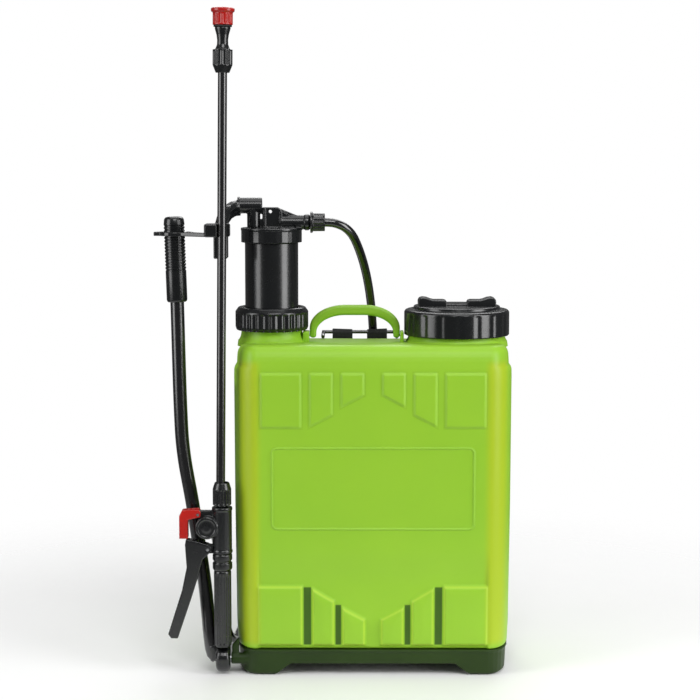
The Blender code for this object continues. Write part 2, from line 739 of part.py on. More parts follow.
def make_crank():
    """The lever with its grip, the crank hub on the base's shaft, and the connecting rod."""
    hub_ends = ((HUB_LEFT, SHAFT_Y, SHAFT_Z), (HUB_RIGHT, SHAFT_Y, SHAFT_Z))
    hub = bar("crank_hub", *hub_ends, HUB_RADIUS, BLACK, sides=28)
    rounding = hub.modifiers.new("Rounding", "BEVEL")
    rounding.width = 0.0055
    rounding.segments = 3
    rounding.limit_method = "ANGLE"
    pin_y = SHAFT_Y + CRANK_RADIUS * math.cos(CRANK_ANGLE)
    pin_z = SHAFT_Z + CRANK_RADIUS * math.sin(CRANK_ANGLE)
    along = math.degrees(CRANK_ANGLE)
    arm_outline = arc((SHAFT_Y, SHAFT_Z), (0.0085, 0.0085), along + 90, along + 270, 6)
    arm_outline += arc((pin_y, pin_z), (0.0072, 0.0072), along - 90, along + 90, 6)
    arm_x = ROD_X + 0.0038 + 0.0030
    arm = as_mesh(plate("crank_arm", arm_outline, 0.0060, (arm_x, 0, 0), face="+X"))
    bore_ends = (HUB_LEFT + 0.0080, HUB_RIGHT + 0.0100)
    shaft_bore = bar("hub_bore", *[(x, SHAFT_Y, SHAFT_Z) for x in bore_ends], SHAFT_RADIUS + GAP)
    pin_radius = 0.0030
    pin_bore_ends = ((ROD_X, pin_y, pin_z), (HUB_RIGHT + 0.0100, pin_y, pin_z))
    pin_bore = bar("arm_bore", *pin_bore_ends, pin_radius + GAP, sides=12)
    add(hub, arm)
    cut(hub, shaft_bore, pin_bore)
    shaft_ends = (HUB_LEFT + 0.0090, TANK_X - 0.1310)
    shaft = bar("pivot_shaft", *[(x, SHAFT_Y, SHAFT_Z) for x in shaft_ends], SHAFT_RADIUS, STEEL, sides=16)
    pin_ends = ((ROD_X - 0.0046, pin_y, pin_z), (arm_x + 0.0030, pin_y, pin_z))
    pin = bar("crank_pin", *pin_ends, pin_radius, STEEL, sides=12)

    foot = Vector((ROD_X, pin_y, pin_z))
    top = Vector(ROD_TOP)
    lean = math.atan2(top.y - foot.y, top.z - foot.z)
    length = (top - foot).length
    half = 0.0040
    eye = 0.0070
    spread = math.degrees(math.asin(half / eye))
    outline = arc((0, 0), (eye, eye), 90 + spread, 450 - spread, 12)
    outline += [(half, length), (-half, length)]
    hole = arc((0, 0), (pin_radius + GAP, pin_radius + GAP), 0, 330, 11)
    rod = plate("connecting_rod", outline, 0.0060, foot, STEEL, holes=[hole], face="+X")
    upright = rod.rotation_euler.to_quaternion()
    rod.rotation_mode = "QUATERNION"
    rod.rotation_quaternion = Quaternion((1, 0, 0), -lean) @ upright

    lever_route = [
        (HUB_LEFT + 0.0015, SHAFT_Y, SHAFT_Z + 0.0010),
        (HUB_LEFT - 0.0040, SHAFT_Y + 0.0006, SHAFT_Z + 0.0065),
        (TANK_X - 0.1912, -0.0665, 0.0440),
        (TANK_X - 0.1945, -0.0600, 0.0750),
        (TANK_X - 0.1990, -0.0530, 0.1110),
        (TANK_X - 0.2117, -0.0465, 0.1939),
        (TANK_X - 0.2220, -0.0440, 0.2550),
        (TANK_X - 0.2256, -0.0430, 0.3100),
        (TANK_X - 0.2284, -0.0420, 0.4353),
    ]
    lever_grip_top = (TANK_X - 0.2314, -0.0420, 0.5345)
    path = smooth_path(lever_route, 0.018)
    path.append(Vector(lever_route[-1]).lerp(Vector(lever_grip_top), 0.85))
    lever = tube("lever_tube", path, LEVER_RADIUS, BLACK, resolution=3)
    deeper = [path[0] + (path[0] - path[1]).normalized() * 2 * GAP, *path[1:6]]
    socket = as_mesh(tube("lever_socket", deeper, LEVER_RADIUS + 2 * GAP, resolution=3))
    cut(hub, socket)
    slope = (Vector(lever_grip_top) - Vector(lever_route[-1])).normalized()
    grip_height = (Vector(lever_grip_top) - Vector(lever_route[-1])).length
    inner = LEVER_RADIUS + GAP
    grip = turned(
        "lever_grip",
        [
            (0, grip_height),
            (0.0095, grip_height),
            (GRIP_RADIUS, grip_height - 0.003),
            (GRIP_RADIUS, 0.003),
            (0.0105, 0.0),
            (inner, 0.0),
            (inner, grip_height * 0.86),
            (0, grip_height * 0.86),
        ],
        lever_route[-1],
        BLACK,
        steps=24,
    )
    grip.rotation_mode = "QUATERNION"
    grip.rotation_quaternion = Vector((0, 0, 1)).rotation_difference(slope)
    hang("lever_axis", (HUB_LEFT, SHAFT_Y, SHAFT_Z), hub, shaft, pin, lever, grip)


def make_lance_clip():
    """The clip on the lance that holds the lever upright. Its fork is open towards +Y."""
    height = 0.5146
    grip_x = TANK_X - 0.2308
    grip_y = -0.0420
    reach = 0.0128
    rim = 0.0170
    outline = [(grip_x - rim - 0.0070, grip_y + 0.004), (grip_x - rim - 0.0070, grip_y - 0.004)]
    outline += arc((grip_x, grip_y), (rim, rim), 200, 300, 6)
    outline += [(TANK_X - 0.1925, -0.0740), (TANK_X - 0.1925, -0.0640), (TANK_X - 0.2050, -0.0520)]
    outline += [(grip_x + rim, grip_y + 0.0100), (grip_x + reach, grip_y + 0.0100)]
    outline += arc((grip_x, grip_y), (reach, reach), 360, 180, 8)
    outline += [(grip_x - reach, grip_y + 0.0100), (grip_x - rim, grip_y + 0.0100)]
    clip = as_mesh(plate("lance_clip", outline, 0.0045, (0, 0, height), face="+Z"), BLACK)
    jaw = block(
        "clip_jaw",
        (TANK_X - 0.1930, -0.0860, 0.5165 - 0.004),
        (TANK_X - 0.1640, -0.0655, 0.5279),
        bevel=0.0015,
        segments=1,
    )
    tube_x = LANCE_X + math.tan(LANCE_LEAN) * (height - NUT_TOP) - 0.0014
    seat_back = LANCE_Y + LANCE_RADIUS + 0.0006
    seat = block("clip_seat", (tube_x - LANCE_RADIUS - GAP, -0.10, 0.50), (tube_x + 0.03, seat_back, 0.54))
    add(clip, jaw)
    cut(clip, seat)


def lance_turned(name, profile, look, steps=20, hollow=False):
    """A turned piece on the upper lance, its heights measured on the leaning axis."""
    raised = [(radius, z - NUT_TOP) for radius, z in profile]
    obj = turned(name, raised, (LANCE_X - 0.0014, LANCE_Y, NUT_TOP), look, steps, hollow)
    obj.rotation_euler = (0, LANCE_LEAN, 0)
    return obj


def make_lance():
    """The lance tube with its two nuts, the nozzle and the nozzle cap."""
    bore = 0.0036
    lance_turned(
        "lance_tube",
        [(LANCE_RADIUS, LANCE_TOP), (LANCE_RADIUS, 0.2080), (bore, 0.2080), (bore, LANCE_TOP)],
        BLACK,
        16,
        True,
    )
    clear = LANCE_RADIUS + GAP
    lance_turned(
        "upper_nut",
        [(0.0113, 0.7245), (0.0113, 0.7073), (0.0078, 0.6985), (clear, 0.6985), (clear, 0.7245)],
        BLACK,
        hollow=True,
    )
    lance_turned(
        "nozzle_body",
        [
            (0.0045, 0.7560),
            (0.0045, 0.7505),
            (0.0088, 0.7495),
            (0.0062, 0.7350),
            (0.0088, 0.7248),
            (0.0049, 0.7248),
            (0.0049, 0.7010),
            (0.0016, 0.7010),
            (0.0016, 0.7560),
        ],
        BLACK,
        hollow=True,
    )
    lance_turned(
        "nozzle_cap",
        [
            (0.0115, 0.7712),
            (0.0134, 0.7700),
            (0.0134, 0.7675),
            (0.0114, 0.7655),
            (0.0114, 0.7520),
            (0.0049, 0.7520),
            (0.0049, 0.7600),
            (0.0012, 0.7620),
            (0.0012, 0.7640),
            (0.0070, 0.7712),
        ],
        RED,
        hollow=True,
    )
    lance_turned(
        "nozzle_seal",
        [(0.0104, 0.7516), (0.0104, 0.7498), (0.0092, 0.7498), (0.0092, 0.7516)],
        RUBBER,
        hollow=True,
    )


def make_valve():
    """The shut-off valve with its trigger, lock, plunger and spring, and the grip below it."""
    at = (LANCE_X, LANCE_Y, 0)
    steps = 20
    turned(
        "lower_nut",
        [
            (0.0082, NUT_TOP),
            (0.0108, 0.2210),
            (0.0108, NUT_FOOT),
            (0.0072, NUT_FOOT),
            (0.0072, NUT_TOP),
        ],
        at,
        BLACK,
        steps,
        True,
    )
    body = turned(
        "valve_body",
        [
            (0.0060, 0.2070),
            (0.0060, VALVE_TOP + 0.0005),
            (VALVE_RADIUS, VALVE_TOP),
            (VALVE_RADIUS, VALVE_FOOT + 0.0003),
            (0.0045, VALVE_FOOT + 0.0003),
            (0.0045, 0.1850),
            (0.0030, 0.1870),
            (0.0030, 0.2070),
        ],
        at,
        BLACK,
        steps,
        True,
    )
    boss_ends = ((BOSS_X, LANCE_Y - 0.0108, BOSS_Z), (BOSS_X, LANCE_Y + 0.0120, BOSS_Z))
    boss = bar("valve_boss", *boss_ends, BOSS_RADIUS, sides=24)
    px, py, pz = TRIGGER_PIVOT
    lx, ly, lz = LOCK_PIVOT
    rear = LANCE_X - 0.0060
    bracket_low = (px - 0.0050, py - 0.0040, pz - 0.0050)
    bracket = block("pivot_bracket", bracket_low, (rear, py + 0.0040, pz + 0.0052))
    arm = block("lock_arm", (lx - 0.0030, ly - 0.0035, lz - 0.0035), (rear, ly + 0.0035, lz + 0.0045))
    core_ends = ((LANCE_X, LANCE_Y, VALVE_FOOT - 0.001), (LANCE_X, LANCE_Y, 0.1853))
    core = bar("valve_core", *core_ends, 0.0048, sides=16)
    pin_radius = 0.0018
    lock_pin_radius = 0.0015
    pin_bore = bar("pivot_bore", (px, py - 0.02, pz), (px, py + 0.02, pz), pin_radius + GAP, sides=12)
    lock_bore = bar("lock_bore", (lx, ly - 0.02, lz), (lx, ly + 0.02, lz), lock_pin_radius + GAP, sides=12)
    add(body, boss, bracket, arm)
    cut(body, core, pin_bore, lock_bore)

    inlet_y = LANCE_Y + 0.0120
    inlet_ends = ((BOSS_X, inlet_y + GAP, BOSS_Z), (BOSS_X, inlet_y + 0.0140, BOSS_Z))
    bar("inlet_barb", *inlet_ends, 0.0075, BLACK, sides=16)
    bar("trigger_pin", (px, py - 0.0085, pz), (px, py + 0.0085, pz), pin_radius, STEEL, sides=12)
    bar("lock_pin", (lx, ly - 0.0065, lz), (lx, ly + 0.0065, lz), lock_pin_radius, STEEL, sides=12)
    turned(
        "valve_plunger",
        [(0, 0.1660), (0.0041, 0.1655), (0.0041, 0.1620), (0.0022, 0.1610), (0.0022, 0.1480), (0, 0.1480)],
        at,
        STEEL,
        12,
    )
    coils = 4
    per_coil = 10
    low = 0.1668
    high = 0.1842
    spiral = []
    for n in range(coils * per_coil + 1):
        angle = 2 * math.pi * n / per_coil
        z = low + (high - low) * n / (coils * per_coil)
        spiral.append((LANCE_X + 0.0033 * math.cos(angle), LANCE_Y + 0.0033 * math.sin(angle), z))
    tube("valve_spring", spiral, 0.0004, STEEL, resolution=1)
    turned(
        "joint_ring",
        [
            (0, VALVE_FOOT),
            (0.0100, VALVE_FOOT),
            (0.0114, VALVE_FOOT - 0.0020),
            (0.0114, GRIP_TOP + 0.0020),
            (0.0100, GRIP_TOP + GAP),
            (0, GRIP_TOP + GAP),
        ],
        at,
        BLACK,
        steps,
    )
    turned(
        "lance_grip",
        [
            (0.0096, GRIP_TOP),
            (0.0101, GRIP_TOP - 0.002),
            (0.0101, LANCE_FOOT + 0.002),
            (0.0088, LANCE_FOOT),
            (0.0060, LANCE_FOOT),
            (0.0060, GRIP_TOP),
        ],
        at,
        BLACK,
        steps,
        True,
    )
    make_trigger()
    make_lock()


def make_trigger():
    """The trigger: two cheeks round the pivot bracket, joined by a bent lever."""
    px, py, pz = TRIGGER_PIVOT
    outline = [
        (-0.1398, 0.1480),
        (-0.1398, 0.1535),
        (-0.1435, 0.1562),
        (-0.1560, 0.1600),
        (-0.1690, 0.1622),
        (-0.1700, 0.1560),
        (-0.1683, 0.1290),
        (-0.1740, 0.1020),
        (-0.1905, 0.0500),
        (-0.1870, 0.0452),
        (-0.1793, 0.0450),
        (-0.1640, 0.0900),
        (-0.1567, 0.1128),
        (-0.1500, 0.1380),
    ]
    local = [(x - px, z - pz) for x, z in outline]
    hole = arc((0, 0), (0.0018 + GAP, 0.0018 + GAP), 0, 315, 7)
    trigger = as_mesh(plate("trigger", local, 0.0140, TRIGGER_PIVOT, holes=[hole]), BLACK)
    slot_low = (px - 0.0110, py - 0.0045, pz - 0.0120)
    slot = block("trigger_slot", slot_low, (px + 0.0100, py + 0.0045, pz + 0.0200))
    cut(trigger, slot)


def make_lock():
    """The hooked lock above the trigger, on its own pin."""
    px, py, pz = LOCK_PIVOT
    outline = [
        (-0.1515, 0.1950),
        (-0.1545, 0.1975),
        (-0.1730, 0.1965),
        (-0.1765, 0.1900),
        (-0.1765, 0.1632),
        (-0.1665, 0.1632),
        (-0.1665, 0.1850),
        (-0.1600, 0.1868),
        (-0.1520, 0.1884),
    ]
    local = [(x - px, z - pz) for x, z in outline]
    hole = arc((0, 0), (0.0015 + GAP, 0.0015 + GAP), 0, 315, 7)
    lock = as_mesh(plate("trigger_lock", local, 0.0130, LOCK_PIVOT, holes=[hole]), RED)
    slot_low = (px - 0.0060, py - 0.0040, pz - 0.0100)
    slot = block("lock_slot", slot_low, (px + 0.0080, py + 0.0040, pz + 0.0100))
    cut(lock, slot)


def band(name, centres, width, thickness, look):
    """A flat strap through centre points, its width along X and its thickness along Y."""
    sections = []
    for x, y, z in centres:
        across = width / 2
        deep = thickness / 2
        sections.append(
            [
                (x - across, y - deep, z),
                (x + across, y - deep, z),
                (x + across, y + deep, z),
                (x - across, y + deep, z),
            ]
        )
    return loft(name, sections, look)


def make_harness():
    """The shoulder straps on the wearer's side with the fittings that hold them."""
    bar_z = 0.3862
    foot_z = 0.3845
    half = 0.0450
    middle = TANK_X - 0.0150
    ends = (-1, 1)
    plan = [(half, 0.0480, foot_z), (half, 0.0560, bar_z), (half, 0.0850, bar_z)]
    plan.append((half - 0.0040, STRAP_Y, bar_z))
    route = [(middle - across, y, z) for across, y, z in plan]
    route += [(middle + across, y, z) for across, y, z in reversed(plan)]
    tube("strap_bar", route, 0.0022, STEEL, resolution=1)
    top_z = 0.3795
    bottom_z = 0.0425
    levels = 9
    for side, sign in zip(("left", "right"), ends):
        foot_x = TANK_X + sign * STRAP_FOOT
        upper = middle + sign * 0.0215
        centres = []
        for n in range(levels + 1):
            share = n / levels
            ease = share * share * (3 - 2 * share)
            x = foot_x + (upper - foot_x) * ease
            centres.append((x, STRAP_Y, bottom_z + share * (top_z - bottom_z)))
        band("strap_" + side, centres, 0.038, 0.0050, WEBBING)
        low = (foot_x - 0.0240, STRAP_Y - 0.0025, 0.0128)
        high = (foot_x + 0.0240, STRAP_Y + 0.0021, 0.0420)
        buckle = block("strap_buckle_" + side, low, high, BLACK, bevel=0.001, segments=1)
        for use, across, bottom, top in (("hook", 0.0108, 0.0155, 0.0240), ("web", 0.0195, 0.0300, 0.0365)):
            slot_low = (foot_x - across, 0.08, bottom)
            cut(buckle, block(use + "_slot_" + side, slot_low, (foot_x + across, 0.10, top)))


HOSE_ROUTE = [
    (-0.0565, 0.0000, 0.5262),
    (-0.0470, 0.0006, 0.5255),
    (-0.0380, 0.0028, 0.5226),
    (-0.0305, 0.0065, 0.5178),
    (-0.0220, 0.0155, 0.5068),
    (-0.0125, 0.0390, 0.4815),
    (-0.0055, 0.0620, 0.4520),
    (-0.0010, 0.0830, 0.4200),
    (0.0016, 0.0995, 0.3850),
    (0.0040, 0.1055, 0.3350),
    (0.0050, 0.1055, 0.2400),
    (0.0050, 0.1065, 0.1600),
    (0.0040, 0.1130, 0.0950),
    (-0.0020, 0.1320, 0.0460),
    (-0.0180, 0.1600, 0.0150),
    (-0.0450, 0.1880, 0.0062),
    (-0.0900, 0.2020, 0.0058),
    (-0.1310, 0.1880, 0.0058),
    (-0.1560, 0.1570, 0.0058),
    (-0.1645, 0.1180, 0.0058),
    (-0.1665, 0.0850, 0.0058),
    (-0.1690, 0.0600, 0.0064),
    (-0.1733, 0.0330, 0.0130),
    (-0.1772, 0.0130, 0.0316),
    (-0.1795, 0.0050, 0.0576),
    (-0.1830, 0.0040, 0.0920),
    (-0.1868, 0.0045, 0.1266),
    (-0.1890, -0.0010, 0.1457),
    (-0.1907, -0.0115, 0.1620),
    (-0.1920, -0.0275, 0.1728),
    (-0.1924, -0.0440, 0.1766),
    (-0.1924, -0.0517, 0.1766),
]


def make_hose():
    """The hose from the chamber's outlet, down behind the tank and round to the valve."""
    route = [(TANK_X + x, y, z) for x, y, z in HOSE_ROUTE]
    tube("hose", smooth_path(route, 0.020), HOSE_RADIUS, RUBBER, resolution=2)


clear_scene()
PARTS = new_collection("knapsack_sprayer")
GUIDES = new_collection("guides")
make_tank()
make_base()
make_handle()
make_filler()
make_pump()
make_chamber_head()
make_outlet()
make_crank()
make_lance_clip()
make_lance()
make_valve()
make_harness()
make_hose()
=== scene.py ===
"""Looks of the knapsack sprayer: the fine shape and the material of each piece, floor, light, camera.

Metres, +Z up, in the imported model's frame: the panelled face looks to -Y, the wearer's back lies
on +Y, and the pump lever and the stored lance stand at -X.
"""
import math

import bmesh
import bpy
from mathutils import Matrix, Vector


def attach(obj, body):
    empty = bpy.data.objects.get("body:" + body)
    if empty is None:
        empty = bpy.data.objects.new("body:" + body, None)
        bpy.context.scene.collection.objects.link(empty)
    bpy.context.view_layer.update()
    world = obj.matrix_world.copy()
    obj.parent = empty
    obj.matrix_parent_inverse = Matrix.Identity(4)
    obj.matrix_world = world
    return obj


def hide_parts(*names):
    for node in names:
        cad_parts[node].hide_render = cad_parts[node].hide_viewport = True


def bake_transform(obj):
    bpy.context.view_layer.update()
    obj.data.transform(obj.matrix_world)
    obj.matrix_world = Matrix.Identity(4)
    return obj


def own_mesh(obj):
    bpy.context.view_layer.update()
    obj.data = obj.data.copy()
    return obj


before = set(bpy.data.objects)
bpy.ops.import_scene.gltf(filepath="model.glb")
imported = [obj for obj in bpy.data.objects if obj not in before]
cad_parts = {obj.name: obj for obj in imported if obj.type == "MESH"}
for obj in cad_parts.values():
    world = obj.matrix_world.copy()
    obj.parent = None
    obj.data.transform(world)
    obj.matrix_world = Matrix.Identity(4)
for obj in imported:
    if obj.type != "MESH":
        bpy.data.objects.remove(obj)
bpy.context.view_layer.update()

TANK_X = 0.048
TANK_HALF = 0.1625
TANK_DEEP = 0.085
PUMP_AT = (TANK_X - 0.120, 0, 0)
FILLER_AT = (TANK_X + 0.1002, 0, 0)
LANCE_AT = (-0.1270, -0.078, 0)
NUT_TOP = 0.2285
LANCE_LEAN = math.radians(0.68)
LANCE_SHIFT = 0.0014
UPPER_LANCE = (
    Matrix.Translation((LANCE_AT[0] - LANCE_SHIFT, LANCE_AT[1], NUT_TOP))
    @ Matrix.Rotation(LANCE_LEAN, 4, "Y")
    @ Matrix.Translation((0, 0, -NUT_TOP))
)
OUTLET_Z = 0.5262
PIN_Z = 0.3925
PIN_BORE = 0.0023
HANDLE_X = TANK_X - 0.0212
HANDLE_HALF = 0.1075 / 2
WORK = bpy.context.scene.collection
bpy.context.scene.view_settings.view_transform = "Standard"

for name in ("Cube", "Light", "Camera"):
    left_over = bpy.data.objects.get(name)
    if left_over:
        bpy.data.objects.remove(left_over)


# ---------------------------------------------------------------- curves and profiles


def smooth_path(points, spacing):
    """Points along a Catmull-Rom curve through the given ones."""
    route = [Vector(point) for point in points]
    route = [2 * route[0] - route[1], *route, 2 * route[-1] - route[-2]]
    path = [route[1]]
    for before, start, end, after in zip(route, route[1:], route[2:], route[3:]):
        count = max(1, round((end - start).length / spacing))
        for n in range(1, count + 1):
            t = n / count
            pull = (end - before) * t + (2 * before - 5 * start + 4 * end - after) * t**2
            path.append(start + (pull + (3 * start - before - 3 * end + after) * t**3) / 2)
    return path


def softened(profile, radius, steps=4):
    """A profile with each inner corner drawn as a short curve."""
    result = [profile[0]]
    for before, corner, after in zip(profile, profile[1:], profile[2:]):
        corner, before, after = Vector(corner), Vector(before), Vector(after)
        into = before - corner
        out = after - corner
        start = corner + into.normalized() * min(radius, into.length * 0.45)
        end = corner + out.normalized() * min(radius, out.length * 0.45)
        for n in range(steps + 1):
            t = n / steps
            result.append(tuple(start * (1 - t) ** 2 + corner * 2 * t * (1 - t) + end * t**2))
    result.append(profile[-1])
    return result


def arc(centre, radii, start, end, count):
    """Points on an ellipse's arc, with angles in degrees."""
    points = []
    for n in range(count + 1):
        angle = math.radians(start + (end - start) * n / count)
        across = centre[0] + radii[0] * math.cos(angle)
        points.append((across, centre[1] + radii[1] * math.sin(angle)))
    return points


def ease(value):
    """Smooth rise from 0 to 1."""
    value = min(1.0, max(0.0, value))
    return value * value * (3 - 2 * value)


# ---------------------------------------------------------------- meshes


def new_object(name, bm):
    """An object from a bmesh, with its faces pointing out."""
    bmesh.ops.recalc_face_normals(bm, faces=bm.faces)
    mesh = bpy.data.meshes.new(name)
    bm.to_mesh(mesh)
    bm.free()
    obj = bpy.data.objects.new(name, mesh)
    WORK.objects.link(obj)
    return obj


def bake(obj):
    """Apply the object's modifiers."""
    bpy.context.view_layer.update()
    graph = bpy.context.evaluated_depsgraph_get()
    mesh = bpy.data.meshes.new_from_object(obj.evaluated_get(graph))
    obj.modifiers.clear()
    obj.data = mesh


def combine(target, operation, *tools):
    """Join the tools to the target, or cut them out of it."""
    for tool in tools:
        step = target.modifiers.new("Combine", "BOOLEAN")
        step.operation = operation
        step.solver = "MANIFOLD"
        step.object = tool
    bake(target)
    for tool in tools:
        bpy.data.objects.remove(tool)
    return target


def join_rings(bm, rings, closed=False):
    """Faces between each ring of points and the next; a ring of one point makes a fan."""
    pairs = list(zip(rings, rings[1:]))
    if closed:
        pairs.append((rings[-1], rings[0]))
    for low, high in pairs:
        count = max(len(low), len(high))
        for n in range(count):
            after = (n + 1) % count
            if len(low) == 1:
                bm.faces.new((low[0], high[after], high[n]))
            elif len(high) == 1:
                bm.faces.new((low[n], low[after], high[0]))
            else:
                bm.faces.new((low[n], low[after], high[after], high[n]))


def lathe(name, profile, place=Matrix(), steps=96, closed=False, wave=None):
    """A turned shape about Z from (radius, height) pairs; wave(angle, height, radius) adds to the radius."""
    bm = bmesh.new()
    rings = []
    for radius, height in profile:
        if radius == 0:
            rings.append([bm.verts.new((0, 0, height))])
            continue
        ring = []
        for n in range(steps):
            angle = math.tau * n / steps
            out = radius + (wave(angle, height, radius) if wave else 0)
            ring.append(bm.verts.new((out * math.cos(angle), out * math.sin(angle), height)))
        rings.append(ring)
    join_rings(bm, rings, closed)
    bm.transform(place)
    return new_object(name, bm)


def at(place):
    """The placing that moves a shape to a point."""
    return Matrix.Translation(place)


def aimed(start, direction):
    """The placing that turns +Z to a direction and starts at a point."""
    return Matrix.Translation(start) @ Vector(direction).to_track_quat("Z", "Y").to_matrix().to_4x4()


def sweep(name, path, section, normal=None):
    """A section, given as (across, along normal) pairs, carried along a path and capped."""
    bm = bmesh.new()
    rings = []
    lift = Vector(normal) if normal else None
    for n, point in enumerate(path):
        ahead = (path[min(n + 1, len(path) - 1)] - path[max(n - 1, 0)]).normalized()
        if lift is None:
            lift = ahead.orthogonal()
        lift = (lift - ahead * lift.dot(ahead)).normalized()
        side = ahead.cross(lift)
        rings.append([bm.verts.new(point + side * x + lift * y) for x, y in section])
    join_rings(bm, rings)
    bm.faces.new(rings[0])
    bm.faces.new(rings[-1])
    return new_object(name, bm)


def ring_section(radius, sides):
    """A round section for sweep."""
    return arc((0, 0), (radius, radius), 0, 360 - 360 / sides, sides - 1)


def prism(name, outline, low, high, bevel=0.0, segments=3):
    """An outline of (x, z) pairs, drawn out along Y and rounded."""
    bm = bmesh.new()
    rings = [[bm.verts.new((u, w, v)) for u, v in outline] for w in (low, high)]
    join_rings(bm, rings)
    bm.faces.new(rings[0])
    bm.faces.new(rings[1])
    obj = new_object(name, bm)
    if bevel:
        step = obj.modifiers.new("Rounding", "BEVEL")
        step.width = bevel
        step.segments = segments
        step.limit_method = "ANGLE"
        step.angle_limit = math.radians(30)
        bake(obj)
    return obj


def block(name, low, high, bevel=0.0):
    """A box between two corners."""
    outline = [(low[0], low[2]), (high[0], low[2]), (high[0], high[2]), (low[0], high[2])]
    return prism(name, outline, low[1], high[1], bevel)


FRONT_CORNER = (0.028, 0.045)
BACK_CORNER = 0.030
BACK_DIP = 0.012
FACE_COLUMNS = 268


def tank_plan(inset, height, fall=0.0, fine=False, front=None):
    """The tank's outline from above, drawn in by inset, by front on its face, and falling to the back."""
    front = inset if front is None else front
    fx, fy = FRONT_CORNER
    corner, back_columns = (16, 40) if fine else (6, 10)
    front_radii = (fx - inset, fy - front)
    back_radii = (BACK_CORNER - inset, BACK_CORNER - inset)
    start = fx - TANK_HALF
    span = TANK_HALF - BACK_CORNER
    back_y = TANK_DEEP - BACK_CORNER
    plan = arc((start, fy - TANK_DEEP), front_radii, 180, 270, corner)
    if fine:
        plan += [(start - 2 * start * n / FACE_COLUMNS, front - TANK_DEEP) for n in range(1, FACE_COLUMNS)]
    plan += arc((-start, fy - TANK_DEEP), front_radii, 270, 360, corner)
    plan += arc((span, back_y), back_radii, 0, 90, corner - 1)
    for n in range(1, back_columns):
        across = span * (1 - 2 * n / back_columns)
        dip = BACK_DIP * (1 - (across / span) ** 2) ** 2
        plan.append((across, TANK_DEEP - inset - dip))
    plan += arc((-span, back_y), back_radii, 90, 180, corner - 1)
    return [Vector((TANK_X + x, y, height - fall * (y + TANK_DEEP))) for x, y in plan]


def loft(name, sections):
    """A closed skin over sections that have equal numbers of points."""
    bm = bmesh.new()
    rings = [[bm.verts.new(point) for point in section] for section in sections]
    join_rings(bm, rings)
    bm.faces.new(rings[0])
    bm.faces.new(rings[-1])
    return new_object(name, bm)


# ---------------------------------------------------------------- materials


def tint(red, green, blue):
    """A linear colour from 8-bit sRGB values."""
    linear = []
    for value in (red, green, blue):
        value /= 255
        linear.append(value / 12.92 if value <= 0.04045 else ((value + 0.055) / 1.055) ** 2.4)
    return (*linear, 1)


def look(name, light, dark, rough, patch=18, grain=900, bump=0.04, metallic=0.0, coat=0.0, sheen=0.0,
         subsurface=0.0, weave=0.0, specular=0.5):
    """A material: two tones in soft patches, uneven gloss, and a fine grain or weave."""
    material = bpy.data.materials.new(name)
    material.use_nodes = True
    nodes = material.node_tree.nodes
    links = material.node_tree.links
    shader = nodes["Principled BSDF"]
    shader.inputs["Metallic"].default_value = metallic
    shader.inputs["Coat Weight"].default_value = coat
    shader.inputs["Specular IOR Level"].default_value = specular
    shader.inputs["Coat Roughness"].default_value = 0.12
    shader.inputs["Sheen Weight"].default_value = sheen
    shader.inputs["Subsurface Weight"].default_value = subsurface
    shader.inputs["Subsurface Radius"].default_value = (0.5, 0.8, 0.2)
    shader.inputs["Subsurface Scale"].default_value = 0.006
    place = nodes.new("ShaderNodeTexCoord").outputs["Object"]

    cloud = nodes.new("ShaderNodeTexNoise")
    cloud.inputs["Scale"].default_value = patch
    cloud.inputs["Detail"].default_value = 4
    links.new(place, cloud.inputs["Vector"])
    tones = nodes.new("ShaderNodeValToRGB")
    tones.color_ramp.elements[0].position = 0.3
    tones.color_ramp.elements[0].color = dark
    tones.color_ramp.elements[1].position = 0.7
    tones.color_ramp.elements[1].color = light
    links.new(cloud.outputs["Fac"], tones.inputs["Fac"])
    links.new(tones.outputs["Color"], shader.inputs["Base Color"])

    smears = nodes.new("ShaderNodeTexNoise")
    smears.inputs["Scale"].default_value = patch * 6
    smears.inputs["Detail"].default_value = 6
    links.new(place, smears.inputs["Vector"])
    gloss = nodes.new("ShaderNodeMapRange")
    gloss.inputs["To Min"].default_value = rough * 0.82
    gloss.inputs["To Max"].default_value = min(1.0, rough * 1.18)
    links.new(smears.outputs["Fac"], gloss.inputs["Value"])
    links.new(gloss.outputs["Result"], shader.inputs["Roughness"])

    if weave:
        pair = []
        for direction in ("X", "Z"):
            yarn = nodes.new("ShaderNodeTexWave")
            yarn.bands_direction = direction
            yarn.inputs["Scale"].default_value = weave
            yarn.inputs["Distortion"].default_value = 0.3
            links.new(place, yarn.inputs["Vector"])
            pair.append(yarn.outputs["Fac"])
        mix = nodes.new("ShaderNodeMath")
        mix.operation = "MULTIPLY"
        links.new(pair[0], mix.inputs[0])
        links.new(pair[1], mix.inputs[1])
        relief = mix.outputs["Value"]
    else:
        fine = nodes.new("ShaderNodeTexNoise")
        fine.inputs["Scale"].default_value = grain
        fine.inputs["Detail"].default_value = 3
        links.new(place, fine.inputs["Vector"])
        relief = fine.outputs["Fac"]
    pits = nodes.new("ShaderNodeBump")
    pits.inputs["Strength"].default_value = min(1.0, bump * 10)
    pits.inputs["Distance"].default_value = 0.0002 if not weave else 0.0005
    links.new(relief, pits.inputs["Height"])
    links.new(pits.outputs["Normal"], shader.inputs["Normal"])
    return material


